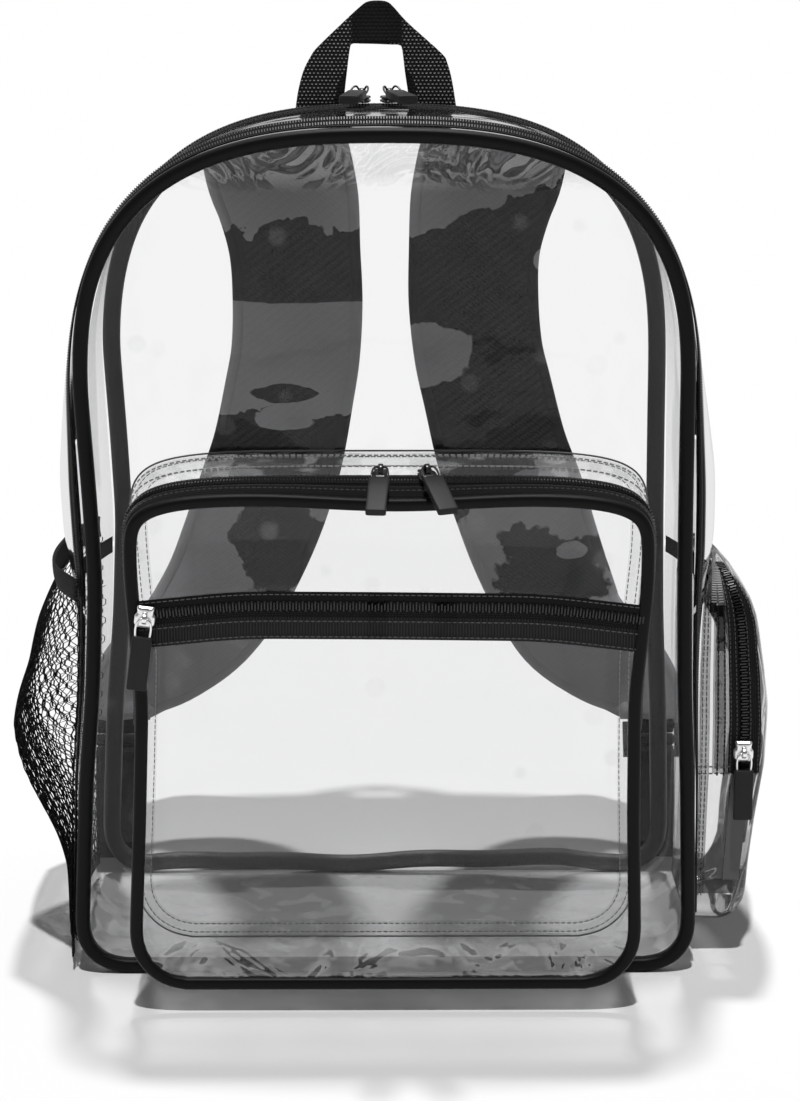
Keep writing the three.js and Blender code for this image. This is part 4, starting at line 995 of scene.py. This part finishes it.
# Sliders and pulls: a waisted body with an arched bridge, and a wire bail that carries a moulded tab
BAR, COIL_TOP, CROWN = 5.1, 1.7, 1.5
SLIDER = [(-5, -2.6), (-3.4, -4.1), (0.4, -4.1), (2.0, -3.1), (5, -3.6), (5, 3.6), (2.0, 3.1), (0.4, 4.1), (-3.4, 4.1),
          (-5, 2.6)]
LAYERS = [(0.92, 0.0), (1.0, 0.35), (1.0, 1.1), (0.84, 1.25), (0.84, 1.9), (1.0, 2.05), (1.0, 2.6), (0.9, 3.05),
          (0.72, 3.3)]
BRIDGE = [(-2.6, 2.4), (-2.5, 4.4), (-1.6, 6.1), (0, 6.8), (1.6, 6.1), (2.5, 4.4), (2.6, 2.4)]
BAIL = [(-3.5, -11, -0.2), (-4.2, -7.5, 0.5), (-4.3, -4.4, 1.7), (-3.7, -2, 2.8), (-2.6, -0.8, 3.0), (-1.6, -0.2, 1.6),
        (-0.8, 0, 0.1), (0.8, 0, 0.1), (1.6, -0.2, 1.6), (2.6, -0.8, 3.0), (3.7, -2, 2.8), (4.3, -4.4, 1.7),
        (4.2, -7.5, 0.5), (3.5, -11, -0.2)]
TAB_WIDE, TAB_FROM, TAB_TO = 9.6, -9.0, -35.0


def moved(points, place, tip, turn, lift=0.0, hang=0.0):
    """Places of a fastener's own part in the frame: first its own hang, then the pair's turn and tip."""
    p = np.asarray(points, float)

    def about(axis, angle, q):
        c, s = math.cos(math.radians(angle)), math.sin(math.radians(angle))
        turns = {"x": [[1, 0, 0], [0, c, -s], [0, s, c]], "z": [[c, -s, 0], [s, c, 0], [0, 0, 1]]}
        return q @ np.array(turns[axis]).T

    p = about("x", hang, p) + np.array([0, 0, lift])
    return about("x", tip, about("z", turn, p)) + np.array(place)


def fastener(prefix, suffix, place, tip, turn, hang, metal, rise=1.0, bend=0.0, thick=3.6, wide=1.0):
    """A slider with its pull. rise is the height of the bail's arch, and bend turns the tab sideways on its bail."""
    slot = "nickel" if metal == NICKEL else "dark_metal"
    plate = even(np.array(SLIDER), 40, closed=True)[:, ::-1] * (wide, 1)
    rings = [np.column_stack([plate * size, np.full(40, z)]) for size, z in LAYERS]
    name = f"{prefix}_slider{suffix}"
    body = sweep(f"{name}_plate", [moved(ring, place, tip, turn) for ring in rings])
    put(body, metal, slot, name)
    arch = spline([(0, y, z) for y, z in BRIDGE], 24)
    up = unit(np.cross(np.gradient(arch, axis=0), (1, 0, 0)))
    ring = carried(arch, np.array([[1.0, 0, 0]]), up, round_section(2.4, 0.9, 12, 3))
    put(sweep(f"{name}_bridge", [moved(r, place, tip, turn) for r in ring]), metal, slot)
    pull = f"{prefix}_pull{suffix}"
    where = dict(place=place, tip=tip, turn=turn, lift=BAR, hang=hang)
    wire = spline([(x * (0.8 + 0.2 * rise), y, z * rise) for x, y, z in BAIL], 84)
    along = unit(np.gradient(wire, axis=0))
    side = unit(np.cross(along, (0, 0.3, 1.0)))
    ring = carried(wire, side, np.cross(side, along), round_section(1.05, 1.05, 10, 2))
    put(sweep(f"{pull}_wire", [moved(r, **where) for r in ring]), metal, slot, body=f"{pull}_body")
    section = round_section(TAB_WIDE, thick, 32, 9)
    steps = [(0.0, 0.9), (0.25, 0.97), (0.6, 1.0)]
    spans = [(TAB_FROM - a, k) for a, k in steps] + [(TAB_TO + a, k) for a, k in steps[::-1]]
    ring = [np.column_stack([section[:, 0] * k, np.full(32, y), section[:, 1] * k]) for y, k in spans]
    c, s = math.cos(math.radians(bend)), math.sin(math.radians(bend))
    hinge = np.array([0, TAB_FROM, 0])
    ring = [(r - hinge) @ np.array([[c, -s, 0], [s, c, 0], [0, 0, 1]]).T + hinge for r in ring]
    put(sweep(f"{pull}_tab", [moved(r, **where) for r in ring]), PULL, "pull", pull, body=f"{pull}_body")


main_y = 36.0
main_z = HEIGHT + CROWN * (1 - (main_y / HALF_DEPTH) ** 2) + COIL_TOP
fastener("main", "_left", (-11.5, main_y, main_z), 0, -14, 2, DARK_METAL, 1.0, 4.5, 4.4)
fastener("main", "_right", (2.5, main_y, main_z), 0, 18, 2, DARK_METAL, 1.0, -3, 4.4)
pocket_y = -118.7 + 15.6 / 2
pocket_z = POCKET_TOP + pocket_lift(pocket_y) + COIL_TOP
slope = math.degrees(math.atan(POCKET_RISE / POCKET_DEEP))
fastener("pocket", "_left", (-2, pocket_y, pocket_z), slope, -4, 24 - slope, DARK_METAL, 0.4)
fastener("pocket", "_right", (20, pocket_y, pocket_z), slope, 16, 24 - slope, DARK_METAL, 0.4)
cross_x = -113.4
cross_z = CROSS_Z + float(bow(cross_x))
fastener("pocket_cross", "", (cross_x, -123.6 - COIL_TOP, cross_z), 90, -7.5, 0, NICKEL, 0.2, wide=1.18)
side_z = 112.5
side_x = float(pouch_reach(POUCH_FRONT, side_z, 0.665))
fastener("side_pocket", "", (side_x, -53.5 - COIL_TOP, side_z), 90, 0, 0, NICKEL, 0.2, wide=1.18)

# Floor, light and camera
floor = mesh("floor", [(-30000, -9000, 0), (30000, -9000, 0), (30000, 40000, 0), (-30000, 40000, 0)], [[0, 1, 2, 3]])
m, t, out = material("floor")
principled(t, out, 0.82, 0.9, specular=0.0)
floor.data.materials.append(m)

world = bpy.data.worlds.new("studio")
scene.world = world
world.use_nodes = True
t = world.node_tree
t.nodes.clear()
ray = node(t, "LightPath").outputs
direction = node(t, "TexCoord").outputs["Generated"]
xyz = parts_of(t, direction)
sky = ranged(t, xyz[2], 0.0, 0.5, 0.8, 1.0)
soft = ranged(t, noise(t, direction, 2.6, Detail=1.0), 0.42, 0.58, 0.62, 1.0)
# Dark cards stand toward the viewer and far to the sides
ahead = ranged(t, xyz[1], -0.15, 0.1, 0.1, 1.0)
bands = maths(t, "SINE", product(t, xyz[1], 17.0))
card = ranged(t, product(t, bands, maths(t, "ABSOLUTE", xyz[0])), 0.45, 0.6, 1.0, 0.5)
mirror = product(t, product(t, sky, soft), product(t, ahead, card))
seen = product(t, ray["Is Glossy Ray"], mirror), product(t, ray["Is Diffuse Ray"], 0.12), ray["Is Camera Ray"]
level = total(t, *seen)
back = node(t, "Background", {"Color": (1, 1, 1, 1), "Strength": level})
t.links.new(back.outputs[0], node(t, "OutputWorld").inputs[0])


def sun(name, azimuth, elevation, strength, angle):
    light = bpy.data.lights.new(name, "SUN")
    light.energy = strength
    light.angle = math.radians(angle)
    o = bpy.data.objects.new(name, light)
    a, e = math.radians(azimuth), math.radians(elevation)
    toward = Vector((math.sin(a) * math.cos(e), math.cos(a) * math.cos(e), math.sin(e)))
    o.rotation_mode = "QUATERNION"
    o.rotation_quaternion = toward.to_track_quat("Z", "Y")
    scene.collection.objects.link(o)


sun("rear", 0, 73, 1.6, 4)
sun("front", 180, 73.5, 2.0, 2)

FOCAL, PICTURE_HIGH, ASIDE = 2739, 1101, 15  # pixels of the photograph
CAMERA_AT, PITCH = (0, -1.375, 0.546), math.radians(14)
camera = bpy.data.cameras.new("camera")
camera.sensor_width = 36
camera.lens = FOCAL / PICTURE_HIGH * camera.sensor_width
camera.clip_end = 200
o = bpy.data.objects.new("camera", camera)
o.location = CAMERA_AT
aim = Vector((ASIDE / FOCAL, math.cos(PITCH), -math.sin(PITCH)))
o.rotation_mode = "QUATERNION"
o.rotation_quaternion = aim.to_track_quat("-Z", "Y")
scene.collection.objects.link(o)
scene.camera = o
scene.view_settings.view_transform = "Standard"
scene.cycles.transparent_max_bounces = 24
